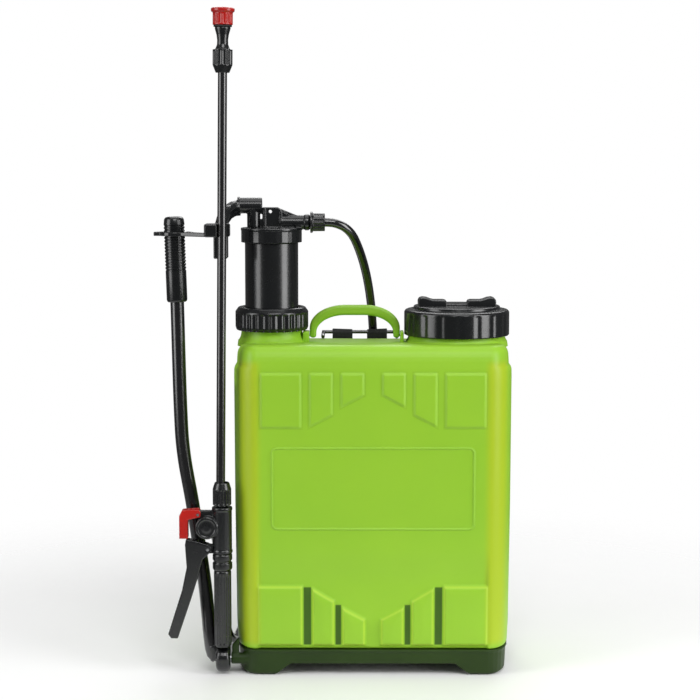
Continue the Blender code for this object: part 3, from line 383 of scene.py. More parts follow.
def tank_look(name, light, dark, edge, groove_painted_shade, corner, side):
    """The blow-moulded shell: painted highlight on panel edges and round corners, painted shade in grooves
    and on the side facing the lance.
    """
    material = look(name, light, dark, 0.42, 7, 420, 0.02, subsurface=0.08, specular=0.35)
    nodes = material.node_tree.nodes
    links = material.node_tree.links
    shader = nodes["Principled BSDF"]
    colour = shader.inputs["Base Color"].links[0].from_socket

    def scaled(value, low, high):
        step = nodes.new("ShaderNodeMapRange")
        step.interpolation_type = "SMOOTHSTEP"
        step.inputs["From Min"].default_value = low
        step.inputs["From Max"].default_value = high
        links.new(value, step.inputs["Value"])
        return step.outputs["Result"]

    def blended(base, over, factor):
        mix = nodes.new("ShaderNodeMix")
        mix.data_type = "RGBA"
        sockets = [socket for socket in mix.inputs if socket.type == "RGBA"]
        links.new(base, sockets[0])
        sockets[1].default_value = over
        links.new(factor, mix.inputs["Factor"])
        return [socket for socket in mix.outputs if socket.type == "RGBA"][0]

    # Painted highlight on the round front corners.
    corner_highlight_mask = nodes.new("ShaderNodeAttribute")
    corner_highlight_mask.attribute_name = "corner"
    colour = blended(colour, corner, corner_highlight_mask.outputs["Fac"])
    # Painted shade on the side that faces the lance.
    side_shade_mask = nodes.new("ShaderNodeAttribute")
    side_shade_mask.attribute_name = "side"
    colour = blended(colour, side, scaled(side_shade_mask.outputs["Fac"], 0.0, 1.6))
    # Painted highlight on the panels' edges, then painted shade in the grooves.
    tone = nodes.new("ShaderNodeAttribute")
    tone.attribute_name = "tone"
    colour = blended(colour, edge, scaled(tone.outputs["Fac"], 0.1, 1.1))
    colour = blended(colour, groove_painted_shade, scaled(tone.outputs["Fac"], -0.1, -1.1))
    links.new(colour, shader.inputs["Base Color"])
    return material


LOOKS = {
    "lime_plastic": look(
        "lime_plastic", tint(136, 184, 46), tint(128, 176, 43), 0.40, 9, 500, 0.03, subsurface=0.12),
    # Painted light in the tank's colours: the edge and corner tints are painted highlights, the groove and
    # side tints painted shade.
    "tank_plastic": tank_look(
        "tank_plastic", light=tint(149, 198, 49), dark=tint(143, 193, 47), edge=tint(176, 210, 66),
        groove_painted_shade=tint(66, 104, 20), corner=tint(168, 193, 35), side=tint(66, 92, 30)),
    "dark_green_plastic": look(
        "dark_green_plastic", tint(38, 60, 12), tint(30, 50, 9), 0.45, 12, 800, 0.05, specular=0.3),
    "black_plastic": look(
        "black_plastic", tint(17, 19, 21), tint(12, 14, 15), 0.26, 22, 900, 0.012, coat=0.22, specular=0.6),
    "red_plastic": look(
        "red_plastic", tint(184, 22, 12), tint(168, 17, 10), 0.30, 20, 900, 0.02, coat=0.2),
    "rubber": look(
        "rubber", tint(30, 30, 30), tint(20, 20, 20), 0.75, 30, 1200, 0.06),
    "hose_pvc": look(
        "hose_pvc", tint(15, 16, 17), tint(10, 11, 12), 0.18, 25, 600, 0.008, coat=0.5, specular=0.8),
    "steel": look(
        "steel", tint(185, 186, 188), tint(160, 162, 165), 0.32, 40, 1500, 0.03, metallic=1.0),
    "painted_steel": look(
        "painted_steel", tint(18, 18, 20), tint(12, 12, 14), 0.24, 30, 700, 0.02, coat=0.5, specular=0.8),
    "white_plastic": look(
        "white_plastic", tint(226, 226, 220), tint(214, 214, 206), 0.42, 20, 800, 0.03),
    "webbing": look(
        "webbing", tint(34, 34, 37), tint(20, 20, 22), 0.85, 60, 900, 0.08, sheen=0.2, weave=180),
    "padding": look(
        "padding", tint(36, 37, 40), tint(24, 25, 27), 0.8, 50, 900, 0.07, sheen=0.3, weave=260),
}


def piece(obj, material, body, *nodes, sharp=35, slot=None):
    """Finish a made piece: shading, material, the body it rides on and the nodes it stands for."""
    obj.data.shade_smooth()
    obj.data.set_sharp_from_angle(angle=math.radians(sharp))
    obj.data.materials.clear()
    obj.data.materials.append(LOOKS[material])
    if body:
        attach(obj, body)
    if nodes:
        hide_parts(*nodes)
    return obj


def node_copy(name, node):
    """A copy of a node's mesh with its split vertices joined again."""
    bm = bmesh.new()
    bm.from_mesh(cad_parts[node].data)
    bmesh.ops.remove_doubles(bm, verts=bm.verts, dist=0.00001)
    return new_object(name, bm)


def moulded(name, node, material, body, voxel, rounds, more=()):
    """A node with the soft edges of a moulded piece, and with some shapes joined on."""
    obj = node_copy(name, node)
    if more:
        combine(obj, "UNION", *more)
    cells = obj.modifiers.new("Cells", "REMESH")
    cells.mode = "VOXEL"
    cells.voxel_size = voxel
    even = obj.modifiers.new("Even", "SMOOTH")
    even.factor = 0.5
    even.iterations = rounds
    bake(obj)
    return piece(obj, material, body, node, sharp=60)


# ---------------------------------------------------------------- camera and hose


def make_camera():
    """A long lens in front of the tank, a little above it and tipped down."""
    data = bpy.data.cameras.new("camera")
    data.sensor_width = 36
    data.lens = 89.3
    camera = bpy.data.objects.new("camera", data)
    data.shift_y = -0.036
    camera.location = (0.0276, -2.06, 0.6133)
    camera.rotation_euler = (math.radians(90 - 5.8), 0, math.radians(0.18))
    WORK.objects.link(camera)
    bpy.context.scene.camera = camera


HOSE_RADIUS = 0.00525
HOSE_ROUTE = [
    (-0.0565, 0.0000, 0.5262), (-0.0470, 0.0006, 0.5255), (-0.0380, 0.0028, 0.5226),
    (-0.0305, 0.0065, 0.5178), (-0.0220, 0.0155, 0.5068), (-0.0125, 0.0390, 0.4815),
    (-0.0055, 0.0620, 0.4520), (-0.0010, 0.0830, 0.4200), (0.0016, 0.0995, 0.3850),
    (0.0040, 0.1055, 0.3350), (0.0050, 0.1055, 0.2400), (0.0050, 0.1065, 0.1600),
    (0.0040, 0.1130, 0.0950), (-0.0020, 0.1320, 0.0460), (-0.0180, 0.1600, 0.0150),
    (-0.0450, 0.1880, 0.0062), (-0.0900, 0.2020, 0.0058), (-0.1310, 0.1880, 0.0058),
    (-0.1560, 0.1570, 0.0058), (-0.1645, 0.1180, 0.0058), (-0.1665, 0.0850, 0.0058),
    (-0.1690, 0.0600, 0.0064), (-0.1733, 0.0330, 0.0130), (-0.1772, 0.0130, 0.0316),
    (-0.1795, 0.0050, 0.0576), (-0.1830, 0.0040, 0.0920), (-0.1868, 0.0045, 0.1266),
    (-0.1890, -0.0010, 0.1457), (-0.1907, -0.0115, 0.1620), (-0.1920, -0.0275, 0.1728),
    (-0.1924, -0.0440, 0.1766), (-0.1924, -0.0517, 0.1766),
]


def make_hose():
    """The hose from the chamber's outlet down behind the tank and up to the valve."""
    path = smooth_path([(TANK_X + x, y, z) for x, y, z in HOSE_ROUTE], 0.006)
    hose = sweep("delivery_hose", path, ring_section(HOSE_RADIUS, 24))
    piece(hose, "hose_pvc", None, "hose")
    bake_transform(hose)


make_camera()
make_hose()


# ---------------------------------------------------------------- tank and base

def panel_depth(x, z, outline):
    """How far a point lies inside a convex panel, from its corners in order."""
    inside = 1.0
    for (ax, az), (bx, bz) in zip(outline, outline[1:] + outline[:1]):
        length = math.hypot(bx - ax, bz - az)
        inside = min(inside, ((bx - ax) * (z - az) - (bz - az) * (x - ax)) / length)
    return inside


LOWER_PANELS = [
    [(0.0813, 0.0358), (0.1348, 0.0358), (0.1348, 0.1077), (0.0813, 0.1077)],
    [(0.0443, 0.0358), (0.0713, 0.0358), (0.0713, 0.1059), (0.0443, 0.0898)],
    [(0.0085, 0.0358), (0.0364, 0.0358), (0.0364, 0.0829), (0.0085, 0.0680)],
]
UPPER_PANELS = [
    [(0.0830, 0.2930), (0.1300, 0.2930), (0.1300, 0.3567), (0.0830, 0.3567)],
    [(0.0468, 0.3080), (0.0734, 0.2942), (0.0734, 0.3567), (0.0468, 0.3567)],
    [(0.0105, 0.3310), (0.0370, 0.3172), (0.0370, 0.3567), (0.0105, 0.3567)],
]
FRAME_HALF = 0.1167
FRAME_LOW, FRAME_HIGH = 0.1749, 0.2693
FRAME_CORNER = 0.006
PANEL_EDGE = 0.1352
GROOVES = [(0.0364, 0.0443, 0.0850), (0.0713, 0.0813, 0.1060)]


def relief(x, z):
    """How far the front face stands proud at a place from the tank's middle, and its painted highlight and
    shade.
    """
    across = abs(x)
    height = tone = 0.0
    if z < 0.155 and across < PANEL_EDGE:
        near = max(panel_depth(across, z, panel) for panel in LOWER_PANELS)
        recess = ease((0.152 - z) / 0.045)
        height += (0.0048 * ease((near + 0.0012) / 0.0050) + 0.0008 * ease(near / 0.014) - 0.0026) * recess
        # Painted highlight along each lower panel's chamfer.
        tone += 0.9 * ease(1 - abs(near - 0.0018) / 0.0022)
        # Painted shade in the grooves between the lower panels.
        for left, right, top in GROOVES:
            inside = min(across - left, right - across, top - z, z - 0.0360)
            tone -= 1.35 * ease((inside + 0.0008) / 0.0030)
    if 0.165 < z < 0.28:
        mid = (FRAME_LOW + FRAME_HIGH) / 2
        dx = across - (FRAME_HALF - FRAME_CORNER)
        dz = abs(z - mid) - ((FRAME_HIGH - FRAME_LOW) / 2 - FRAME_CORNER)
        gap = math.hypot(max(dx, 0), max(dz, 0)) + min(max(dx, dz), 0) - FRAME_CORNER
        height += 0.0014 * ease(1 - abs(gap) / 0.0015)
        # Painted shade along the frame's groove.
        tone -= 0.35 * ease(1 - abs(gap - 0.0012) / 0.0012)
    if z > 0.285:
        near = max(panel_depth(across, z, panel) for panel in UPPER_PANELS)
        height += 0.0020 * ease((near + 0.0008) / 0.0030)
        # Painted highlight on the upper panels' edges, painted shade just outside them.
        tone += 0.32 * ease(1 - abs(near - 0.0010) / 0.0014) - 0.34 * ease(1 - abs(near + 0.0014) / 0.0018)
    return height, tone


def between(table, z):
    """Values read from a table of (z, ...) rows, in proportion between them."""
    for low, high in zip(table, table[1:]):
        if z <= high[0]:
            share = (z - low[0]) / (high[0] - low[0])
            return [a + (b - a) * share for a, b in zip(low[1:], high[1:])]
    return list(table[-1][1:])


# Rows of height, inset, and share of TOP_FALL, the slope of the top towards the back.
TANK_LEVELS = (
    (0.0315, 0.0060, 0.0),
    (0.0322, 0.0044, 0.0),
    (0.0335, 0.0034, 0.0),
    (0.0355, 0.0029, 0.0),
    (0.060, 0.0018, 0.0),
    (0.200, 0.0004, 0.0),
    (0.350, 0.0, 0.0),
    (0.3575, 0.0002, 0.0),
    (0.3605, 0.0010, 0.0),
    (0.3625, 0.0024, 0.1),
    (0.3645, 0.0035, 0.2),
    (0.3720, 0.0038, 0.4),
    (0.3775, 0.0042, 0.6),
    (0.3815, 0.0052, 0.8),
    (0.3845, 0.0068, 1.0),
    (0.3865, 0.0088, 1.0),
    (0.3878, 0.0115, 1.0),
    (0.3884, 0.0140, 1.0),
    (0.3885, 0.0160, 1.0),
)
HOLLOW_LEVELS = (
    (0.0345, 0.0110, 0.0),
    (0.060, 0.0092, 0.0),
    (0.112, 0.0085, 0.0),
    (0.130, 0.0045, 0.0),
    (0.3580, 0.0035, 0.0),
    (0.3800, 0.0085, 0.9),
    (0.3855, 0.0160, 1.0),
)
TOP_FALL = 0.050

# Rows of height and inset of the face's upper edge.
FACE_TOP = (
    (0.350, 0.0),
    (0.3620, 0.0004),
    (0.3700, 0.0012),
    (0.3750, 0.0022),
    (0.3790, 0.0036),
    (0.3820, 0.0052),
    (0.3845, 0.0072),
    (0.3865, 0.0096),
    (0.3878, 0.0122),
    (0.3884, 0.0144),
    (0.3885, 0.0160),
)


def tank_rows():
    """Heights of the tank's rings: close together where the face has detail."""
    foot, top = TANK_LEVELS[0][0], TANK_LEVELS[-1][0]
    rows = [foot]
    while rows[-1] < top - 0.0001:
        z = rows[-1]
        if z < 0.112 or 0.288 < z < top:
            step = 0.001
        elif 0.172 < z < 0.184 or 0.260 < z < 0.2725:
            step = 0.00075
        else:
            step = 0.004
        rows.append(min(top, z + step))
    return rows


def corner_light(across, z):
    """How strongly a painted highlight shows on a front corner, by its distance from the tank's middle."""
    lit = ease((across - 0.127) / 0.010) * ease((0.1590 - across) / 0.009) * ease((z - 0.033) / 0.01)
    return lit * ease((0.374 - z) / 0.010)


def side_shade(across, z):
    """How much painted shade falls on the side that faces the lance."""
    return ease((across - 0.1555) / 0.005) * ease((0.352 - z) / 0.02)


def tank_shell():
    """The outer skin with the face's relief, and the masks of painted highlight and shade that its material
    reads.
    """
    sections = []
    # Masks of painted light: highlight on the face's edges and round corners, shade in the grooves and on the
    # side facing the lance.
    masks = {"tone": [], "corner": [], "side": []}
    for z in tank_rows():
        inset, share = between(TANK_LEVELS, z)
        front = between(FACE_TOP, z)[0] if z > FACE_TOP[0][0] else inset
        section = tank_plan(inset, z, share * TOP_FALL, True, front)
        for point in section:
            from_middle = point.x - TANK_X
            across = abs(from_middle)
            # Painted highlight on the round front corners.
            masks["corner"].append(corner_light(across, z) if point.y < -0.03 else 0.0)
            # Painted shade on the side that faces the lance.
            masks["side"].append(side_shade(across, z) if point.y < 0 and from_middle < 0 else 0.0)
            height = tone = fade = 0.0
            if point.y < front - TANK_DEEP + 0.0001:
                fade = ease((PANEL_EDGE - across) / 0.003)
                height, tone = relief(from_middle, z)
            point.y -= height * fade
            # The face's painted highlight and shade, on the front face only and faded towards its sides.
            masks["tone"].append(tone * fade)
        sections.append(section)
    tank = loft("tank_shell", sections)
    for label, values in masks.items():
        tank.data.attributes.new(label, "FLOAT", "POINT").data.foreach_set("value", values)
    return tank


def thread(radius, low, high, pitch=0.0035, depth=0.0004):
    """A profile of ridges down a neck, from high to low."""
    ridges = []
    z = high
    while z - pitch > low:
        ridges += [(radius, z), (radius + depth, z - pitch * 0.3), (radius + depth, z - pitch * 0.5),
                   (radius, z - pitch * 0.8)]
        z -= pitch
    return ridges


def make_tank():
    """The tank: a hollow shell with two necks, the filler's one threaded, and the handle's two lugs."""
    tank = tank_shell()
    hollow = loft("hollow", [tank_plan(inset, z, share * TOP_FALL) for z, inset, share in HOLLOW_LEVELS])
    combine(tank, "DIFFERENCE", hollow)

    pump_neck = lathe("pump_neck", [(0, 0.4125), (0.0358, 0.4125), (0.0362, 0.4120), (0.0362, 0.3975),
                                    (0.0366, 0.3940), (0.0374, 0.3905), (0.0386, 0.3880), (0.0402, 0.3862),
                                    (0.0410, 0.3800), (0, 0.3800)], at(PUMP_AT))
    filler_neck = lathe("filler_neck", [(0, 0.4125), (0.0560, 0.4125), *thread(0.0560, 0.3960, 0.4110),
                                        (0.0565, 0.3945), (0.0574, 0.3910), (0.0586, 0.3880),
                                        (0.0602, 0.3855), (0.0610, 0.3800), (0, 0.3800)], at(FILLER_AT))
    lugs = []
    for side, west, east in (("left", -HANDLE_HALF - 0.0080, -HANDLE_HALF - 0.0004),
                             ("right", HANDLE_HALF + 0.0004, HANDLE_HALF + 0.0044)):
        low = (HANDLE_X + west, -0.0140, 0.3815)
        high = (HANDLE_X + east, 0.0080, 0.3970)
        lugs.append(block("lug_" + side, low, high, 0.0012))
    combine(tank, "UNION", pump_neck, filler_neck, *lugs)

    bores = [lathe(name + "_bore", [(0, 0.430), (radius, 0.430), (radius, 0.370), (0, 0.370)], at(place))
             for name, radius, place in (("pump", 0.0340, PUMP_AT), ("filler", 0.0525, FILLER_AT))]
    reach = HANDLE_HALF * 2 + 0.0103
    bores.append(lathe("pin_bore", [(0, reach), (PIN_BORE, reach), (PIN_BORE, 0), (0, 0)],
                       aimed((HANDLE_X - HANDLE_HALF - 0.0043, 0, PIN_Z), (1, 0, 0)), 24))
    combine(tank, "DIFFERENCE", *bores)
    piece(tank, "tank_plastic", "root", "tank", sharp=50, slot="lime_plastic")


def make_base():
    """The base tray: the node's shape with a rim bead and softer edges."""
    rim = ((0.0278, 0.0047), (0.0284, 0.0030), (0.0300, 0.0028), (0.0308, 0.0036), (0.0312, 0.0060))
    bead = loft("bead", [tank_plan(inset, z) for z, inset in rim])
    moulded("base_tray", "base", "dark_green_plastic", "root", 0.0012, 4, more=[bead])


make_tank()
make_base()


# ---------------------------------------------------------------- pump


def flutes(count, depth, low, high, core, fades=(0.001, 0.001), power=1, crest_power=1):
    """A wave of upright valleys between two heights, outside a core radius and faded at both ends."""

    def wave(angle, height, radius):
        if radius <= core:
            return 0
        crest = (0.5 + 0.5 * math.cos(count * angle)) ** crest_power
        fade = ease((height - low) / fades[0]) * ease((high - height) / fades[1])
        return -depth * (1 - crest) ** power * fade

    return wave


def columns(profile, pitch=0.001):
    """The profile with extra points down its long upright runs."""
    result = [profile[0]]
    for start, end in zip(profile, profile[1:]):
        length = math.hypot(end[0] - start[0], end[1] - start[1])
        count = max(1, round(length / pitch))
        for n in range(1, count + 1):
            t = n / count
            result.append((start[0] + (end[0] - start[0]) * t, start[1] + (end[1] - start[1]) * t))
    return result


def make_chamber():
    """The air chamber's tube, and the collar nut that it slides through."""
    wall = softened([(0.0290, 0.1500), (0.0316, 0.1500), (0.0316, 0.5025), (0.0290, 0.5025)], 0.001)
    tube = lathe("chamber_tube", wall, at(PUMP_AT), 128, closed=True)
    piece(tube, "black_plastic", "air_chamber", "air_chamber")
    outside = softened([(0.0355, 0.4262), (0.0396, 0.4260), (0.0434, 0.4208), (0.0434, 0.4024),
                        (0.0420, 0.3988), (0.0367, 0.3988)], 0.0012)
    inside = [(0.0367, 0.4180), (0.0355, 0.4180)]
    grips = flutes(30, 0.0016, 0.3985, 0.4200, 0.0372, (0.0015, 0.0015), crest_power=0.6)
    collar = lathe("collar_cap", columns(outside) + inside, at(PUMP_AT), 360, True, grips)
    piece(collar, "black_plastic", "collar_nut", "collar_nut", sharp=50)


def make_head():
    """The chamber's head with its ribs and outlet, the yoke and the outlet nut."""
    outlet_axis = (1, 0, 0)
    head_ribs = [block("rib", (x - 0.0007, -0.0078, 0.5190), (x + 0.0007, -0.0040, top)) for x, top in
                 ((TANK_X - 0.1275, 0.5420), (TANK_X - 0.1085, 0.5390))]
    web = prism("web", [(TANK_X - 0.1130, 0.5438), (TANK_X - 0.0860, 0.5330), (TANK_X - 0.0860, 0.5200),
                        (TANK_X - 0.1130, 0.5200)], -0.0030, 0.0030)
    bead = softened([(0.0030, 0.0), (0.0096, 0.0), (0.0096, 0.0050), (0.0030, 0.0050)], 0.0006)
    collar = lathe("collar", bead, aimed((TANK_X - 0.0805, 0, OUTLET_Z), outlet_axis), 48, closed=True)
    links = [block("link", (TANK_X - 0.1340, -0.0052, low), (TANK_X - 0.1290, 0.0052, high)) for low, high in
             ((0.5200, 0.5302), (0.5362, 0.5425))]
    edge = softened([(0.0300, 0.5170), (0.0364, 0.5170), (0.0364, 0.5198), (0.0300, 0.5205)], 0.0005)
    rim = lathe("head_rim", edge, at(PUMP_AT), closed=True)
    moulded("head_casting", "chamber_head", "black_plastic", "air_chamber", 0.0006, 4,
            more=[*head_ribs, web, collar, *links, rim])

    outline = [(0, 0.5340), (0.0100, 0.5338), (0.0190, 0.5312), (0.0250, 0.5270), (0.0290, 0.5210),
               (0.0310, 0.5140), (0.0350, 0.5140), (0.0385, 0.5240), (0.0370, 0.5360), (0.0280, 0.5460),
               (0, 0.5480)]
    start = Vector((TANK_X - 0.1580, 0.0010, 0))
    along = Vector((TANK_X - 0.1774, -0.0348, 0)) - start
    gusset = prism("gusset", outline, -0.0020, 0.0020)
    gusset.data.transform(at(start) @ Matrix.Rotation(math.atan2(along.y, along.x), 4, "Z"))
    moulded("yoke_casting", "yoke_arm", "black_plastic", "air_chamber", 0.0006, 4, more=[gusset])

    nut = softened([(0.0060, 0.0), (0.0125, 0.0), (0.0125, 0.0026), (0.0108, 0.0030), (0.0106, 0.0172),
                    (0.0060, 0.0172)], 0.0006)
    outlet = lathe("hose_nut", columns(nut), aimed((TANK_X - 0.0739, 0, OUTLET_Z), outlet_axis), 180, True,
                   flutes(14, 0.0009, 0.0032, 0.0168, 0.0095))
    piece(outlet, "black_plastic", "outlet_nut", "outlet_nut", sharp=50)


def make_filler():
    """The filler cap: shallow facets round its skirt, two finger wings, a bridge and a vent hole."""
    outside = softened([(0, 0.4275), (0.0504, 0.4275), (0.0514, 0.4266), (0.0514, 0.4238), (0.0606, 0.4228),
                        (0.0625, 0.4205), (0.0625, 0.3930), (0.0571, 0.3930)], 0.0011)
    inside = [(0.0571, 0.4165), (0, 0.4165)]
    facets = flutes(18, 0.0008, 0, 0.4215, 0.0600, (0.001, 0.003), power=4)
    cap = lathe("filler_lid", columns(outside) + inside, at(FILLER_AT), 360, False, facets)
    wing = [(0.0120, 0.4255), (0.0460, 0.4255), (0.0464, 0.4335), (0.0446, 0.4366), (0.0410, 0.4376),
            (0.0360, 0.4370), (0.0320, 0.4354), (0.0280, 0.4344), (0.0160, 0.4344), (0.0128, 0.4334),
            (0.0120, 0.4310)]
    wings = []
    for sign in (-1, 1):
        outline = [(FILLER_AT[0] + sign * x, z) for x, z in wing]
        wings.append(prism("wing", outline[::sign], -0.0110, 0.0110, 0.0012))
    low = (FILLER_AT[0] - 0.0125, -0.0048, 0.4260)
    high = (FILLER_AT[0] + 0.0125, 0.0048, 0.4289)
    combine(cap, "UNION", *wings, block("bridge", low, high, 0.0006))
    vent = lathe("vent", [(0, 0.440), (0.0032, 0.440), (0.0032, 0.410), (0, 0.410)], at(FILLER_AT), 24)
    combine(cap, "DIFFERENCE", vent)
    piece(cap, "black_plastic", "filler_cap", "filler_cap", sharp=50)


make_chamber()
make_head()
make_filler()


# ---------------------------------------------------------------- handle, lever


def make_handle():
    """The carry handle: an oval arch on two legs, each on its pin."""
    leg, foot, top = 0.0080, 0.3887, 0.4280
    outer, inner = (0.0420, 0.0275), (0.0345, 0.0205)
    crown = top - 0.0122
    inner_side = HANDLE_HALF - leg
    outline = [(-HANDLE_HALF, foot), (-inner_side, foot)]
    outline += arc((-inner_side + inner[0], crown - inner[1]), inner, 180, 90, 16)
    outline += arc((inner_side - inner[0], crown - inner[1]), inner, 90, 0, 16)
    outline += [(inner_side, foot), (HANDLE_HALF, foot)]
    outline += arc((HANDLE_HALF - outer[0], top - outer[1]), outer, 0, 90, 18)
    outline += arc((-HANDLE_HALF + outer[0], top - outer[1]), outer, 90, 180, 18)
    outline = [(HANDLE_X + x, z) for x, z in outline]
    bow = prism("handle_bow", outline, -0.0047, 0.0047, 0.0034, 5)
    reach = 0.130
    bore = lathe("bore", [(0, reach), (PIN_BORE, reach), (PIN_BORE, 0), (0, 0)],
                 aimed((HANDLE_X - reach / 2, 0, PIN_Z), (1, 0, 0)), 24)
    combine(bow, "DIFFERENCE", bore)
    piece(bow, "lime_plastic", "carry_handle", "carry_handle", sharp=55)


LEVER_ROUTE = [
    (-0.1823, -0.0700, 0.0185), (-0.1878, -0.0694, 0.0240), (-0.1912, -0.0665, 0.0440),
    (-0.1945, -0.0600, 0.0750), (-0.1990, -0.0530, 0.1110), (-0.2117, -0.0465, 0.1939),
    (-0.2220, -0.0440, 0.2550), (-0.2256, -0.0430, 0.3100), (-0.2284, -0.0420, 0.4353),
]


GRIP_TOP = (-0.2314, -0.0420, 0.5345)
GRIP_RINGS = 14


def make_lever():
    """The lever's bent tube, its ringed grip, the crank hub, and the lance's clip beside it."""
    route = [Vector((TANK_X + x, y, z)) for x, y, z in LEVER_ROUTE]
    top = Vector((TANK_X + GRIP_TOP[0], *GRIP_TOP[1:]))
    path = smooth_path(route, 0.008)
    path.append(route[-1].lerp(top, 0.85))
    tube = sweep("lever_bar", path, ring_section(0.008, 32))
    piece(tube, "painted_steel", "pump_lever", "lever_tube")

    reach = (top - route[-1]).length
    bore_end = reach * 0.86
    pitch = reach * 0.55 / GRIP_RINGS
    z = reach * 0.375
    profile = [(0, bore_end), (0.0083, bore_end), (0.0083, 0.0), (0.0103, 0.0), (0.0116, 0.0012),
               (0.0120, 0.0030), (0.0120, reach * 0.37)]
    for _ in range(GRIP_RINGS):
        profile += [(0.0113, z), (0.0113, z + pitch * 0.25), (0.0121, z + pitch * 0.45),
                    (0.0121, z + pitch * 0.85)]
        z += pitch
    profile += [(0.0119, z + 0.0006), (0.0116, reach - 0.0036), (0.0108, reach - 0.0018),
                (0.0094, reach - 0.0005), (0.0070, reach), (0, reach)]
    grip = lathe("lever_sleeve", profile, aimed(route[-1], top - route[-1]), 64)
    piece(grip, "black_plastic", "pump_lever", "lever_grip", sharp=45)

    hub = Vector((TANK_X - 0.1815, -0.0700, 0.0165))
    sleeve = softened([(0, 0.0), (0.0090, 0.0), (0.0094, 0.0170), (0.0084, 0.0185), (0, 0.0185)], 0.0012)
    socket = lathe("socket", sleeve, aimed(hub, route[2] - hub), 48)
    moulded("hub_casting", "crank_hub", "black_plastic", "pump_lever", 0.0006, 4, more=[socket])
    moulded("rod_clip", "lance_clip", "black_plastic", "root", 0.0006, 4)


make_handle()
make_lever()


# ---------------------------------------------------------------- lance and valve


def make_lance():
    """The upper lance, a little out of upright: tube, tip nut, nozzle body and spray cap."""
    tube = lathe("lance_pipe", [(0.0036, 0.2080), (0.0052, 0.2080), (0.0052, 0.7000), (0.0036, 0.7000)],
                 UPPER_LANCE, 48, closed=True)
    piece(tube, "painted_steel", "root", "lance_tube")
    nut = softened([(0.0055, 0.6985), (0.0078, 0.6985), (0.0113, 0.7073), (0.0113, 0.7245),
                    (0.0055, 0.7245)], 0.0006)
    upper = lathe("tip_nut", columns(nut), UPPER_LANCE, 180, True,
                  flutes(16, 0.0008, 0.7065, 0.7240, 0.0105, (0.0015, 0.001)))
    piece(upper, "black_plastic", "upper_nut", "upper_nut", sharp=50)
    body = [(0.0045, 0.7560), (0.0045, 0.7505), (0.0086, 0.7500), (0.0090, 0.7480), (0.0070, 0.7410),
            (0.0062, 0.7350), (0.0064, 0.7300), (0.0078, 0.7262), (0.0088, 0.7248), (0.0049, 0.7248),
            (0.0049, 0.7010), (0.0016, 0.7010), (0.0016, 0.7560)]
    stem = lathe("nozzle_stem", softened(body, 0.0005), UPPER_LANCE, 64, closed=True)
    piece(stem, "black_plastic", "root", "nozzle_body")
    cap = [(0.0115, 0.7712), (0.0134, 0.7702), (0.0134, 0.7672), (0.0114, 0.7655), (0.0114, 0.7520),
           (0.0049, 0.7520), (0.0049, 0.7600), (0.0012, 0.7620), (0.0012, 0.7640), (0.0070, 0.7712)]
    nozzle = lathe("spray_cap", columns(softened(cap, 0.0005)), UPPER_LANCE, 160, True,
                   flutes(16, 0.0007, 0.7525, 0.7650, 0.0108, (0.0008, 0.0008)))
    piece(nozzle, "red_plastic", "nozzle_cap", "nozzle_cap", sharp=50)


def make_grip():
    """The upright lower lance: the valve's nut, the ring under the valve and the fluted grip."""
    lower = softened([(0.0074, 0.2025), (0.0108, 0.2025), (0.0108, 0.2210), (0.0084, NUT_TOP),
                      (0.0074, NUT_TOP)], 0.0006)
    nut = lathe("valve_nut", columns(lower), at(LANCE_AT), 180, True,
                flutes(18, 0.0008, 0.2030, 0.2212, 0.0100))
    piece(nut, "black_plastic", "lower_nut", "lower_nut", sharp=50)
    ring = softened([(0, 0.1253), (0.0100, 0.1253), (0.0114, 0.1273), (0.0114, 0.1340), (0.0102, 0.1348),
                     (0.0102, 0.1368), (0.0114, 0.1376), (0.0114, 0.1435), (0.0100, 0.1455), (0, 0.1455)],
                    0.0006)
    piece(lathe("grip_ring", ring, at(LANCE_AT), 64), "black_plastic", "root", "joint_ring")
    grip = softened([(0.0060, 0.1250), (0.0094, 0.1250), (0.0101, 0.1232), (0.0101, 0.0372), (0.0092, 0.0348),
                     (0.0084, 0.0345), (0.0060, 0.0345)], 0.0008)
    handle = lathe("fluted_grip", columns(grip, 0.0012), at(LANCE_AT), 192, True,
                   flutes(16, 0.0007, 0.0365, 0.1225, 0.0085, (0.004, 0.004), power=2))
    piece(handle, "black_plastic", "root", "lance_grip", sharp=50)


def make_valve():
    """The valve's casting with a dished lid on its boss, the trigger, its lock and the return spring."""
    boss_x, boss_z = TANK_X - 0.1924, 0.1766
    dish = softened([(0, -0.0020), (0.0128, -0.0020), (0.0128, 0.0006), (0.0112, 0.0012), (0.0100, 0.0012),
                     (0.0096, 0.0004), (0.0060, 0.0004), (0.0040, 0.0010), (0, 0.0010)], 0.0004)
    lid = lathe("lid", dish, aimed((boss_x, LANCE_AT[1] - 0.0108, boss_z), (0, -1, 0)), 64)
    bands = []
    for z in (0.1475, 0.1978):
        low, high = z - 0.0016, z + 0.0016
        band = softened([(0.0090, low), (0.0119, low), (0.0119, high), (0.0090, high)], 0.0004)
        bands.append(lathe("band", band, at(LANCE_AT), 48, closed=True))
    moulded("valve_casting", "valve_body", "black_plastic", "root", 0.0005, 4, more=[lid, *bands])
    moulded("trigger_lever", "trigger", "black_plastic", "trigger", 0.0006, 5)
    moulded("lock_hook", "trigger_lock", "red_plastic", "trigger_lock", 0.0006, 5)
    spring = piece(node_copy("return_spring", "valve_spring"), "steel", "root", "valve_spring")
    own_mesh(spring)


make_lance()
make_grip()
make_valve()


# ---------------------------------------------------------------- straps


STRAP_Y = 0.0893
STRAP_MIDDLE = TANK_X - 0.0150
STRAP_FOOT = (0.112, 0.0425)
STRAP_TOP = (0.0215, 0.3795)
PAD_STEPS = 40


def strap_x(sign, z):
    """Where a strap's middle is at a height: it runs in from a buckle at its foot to the bar at its top."""
    foot, top = TANK_X + sign * STRAP_FOOT[0], STRAP_MIDDLE + sign * STRAP_TOP[0]
    return foot + (top - foot) * ease((z - STRAP_FOOT[1]) / (STRAP_TOP[1] - STRAP_FOOT[1]))


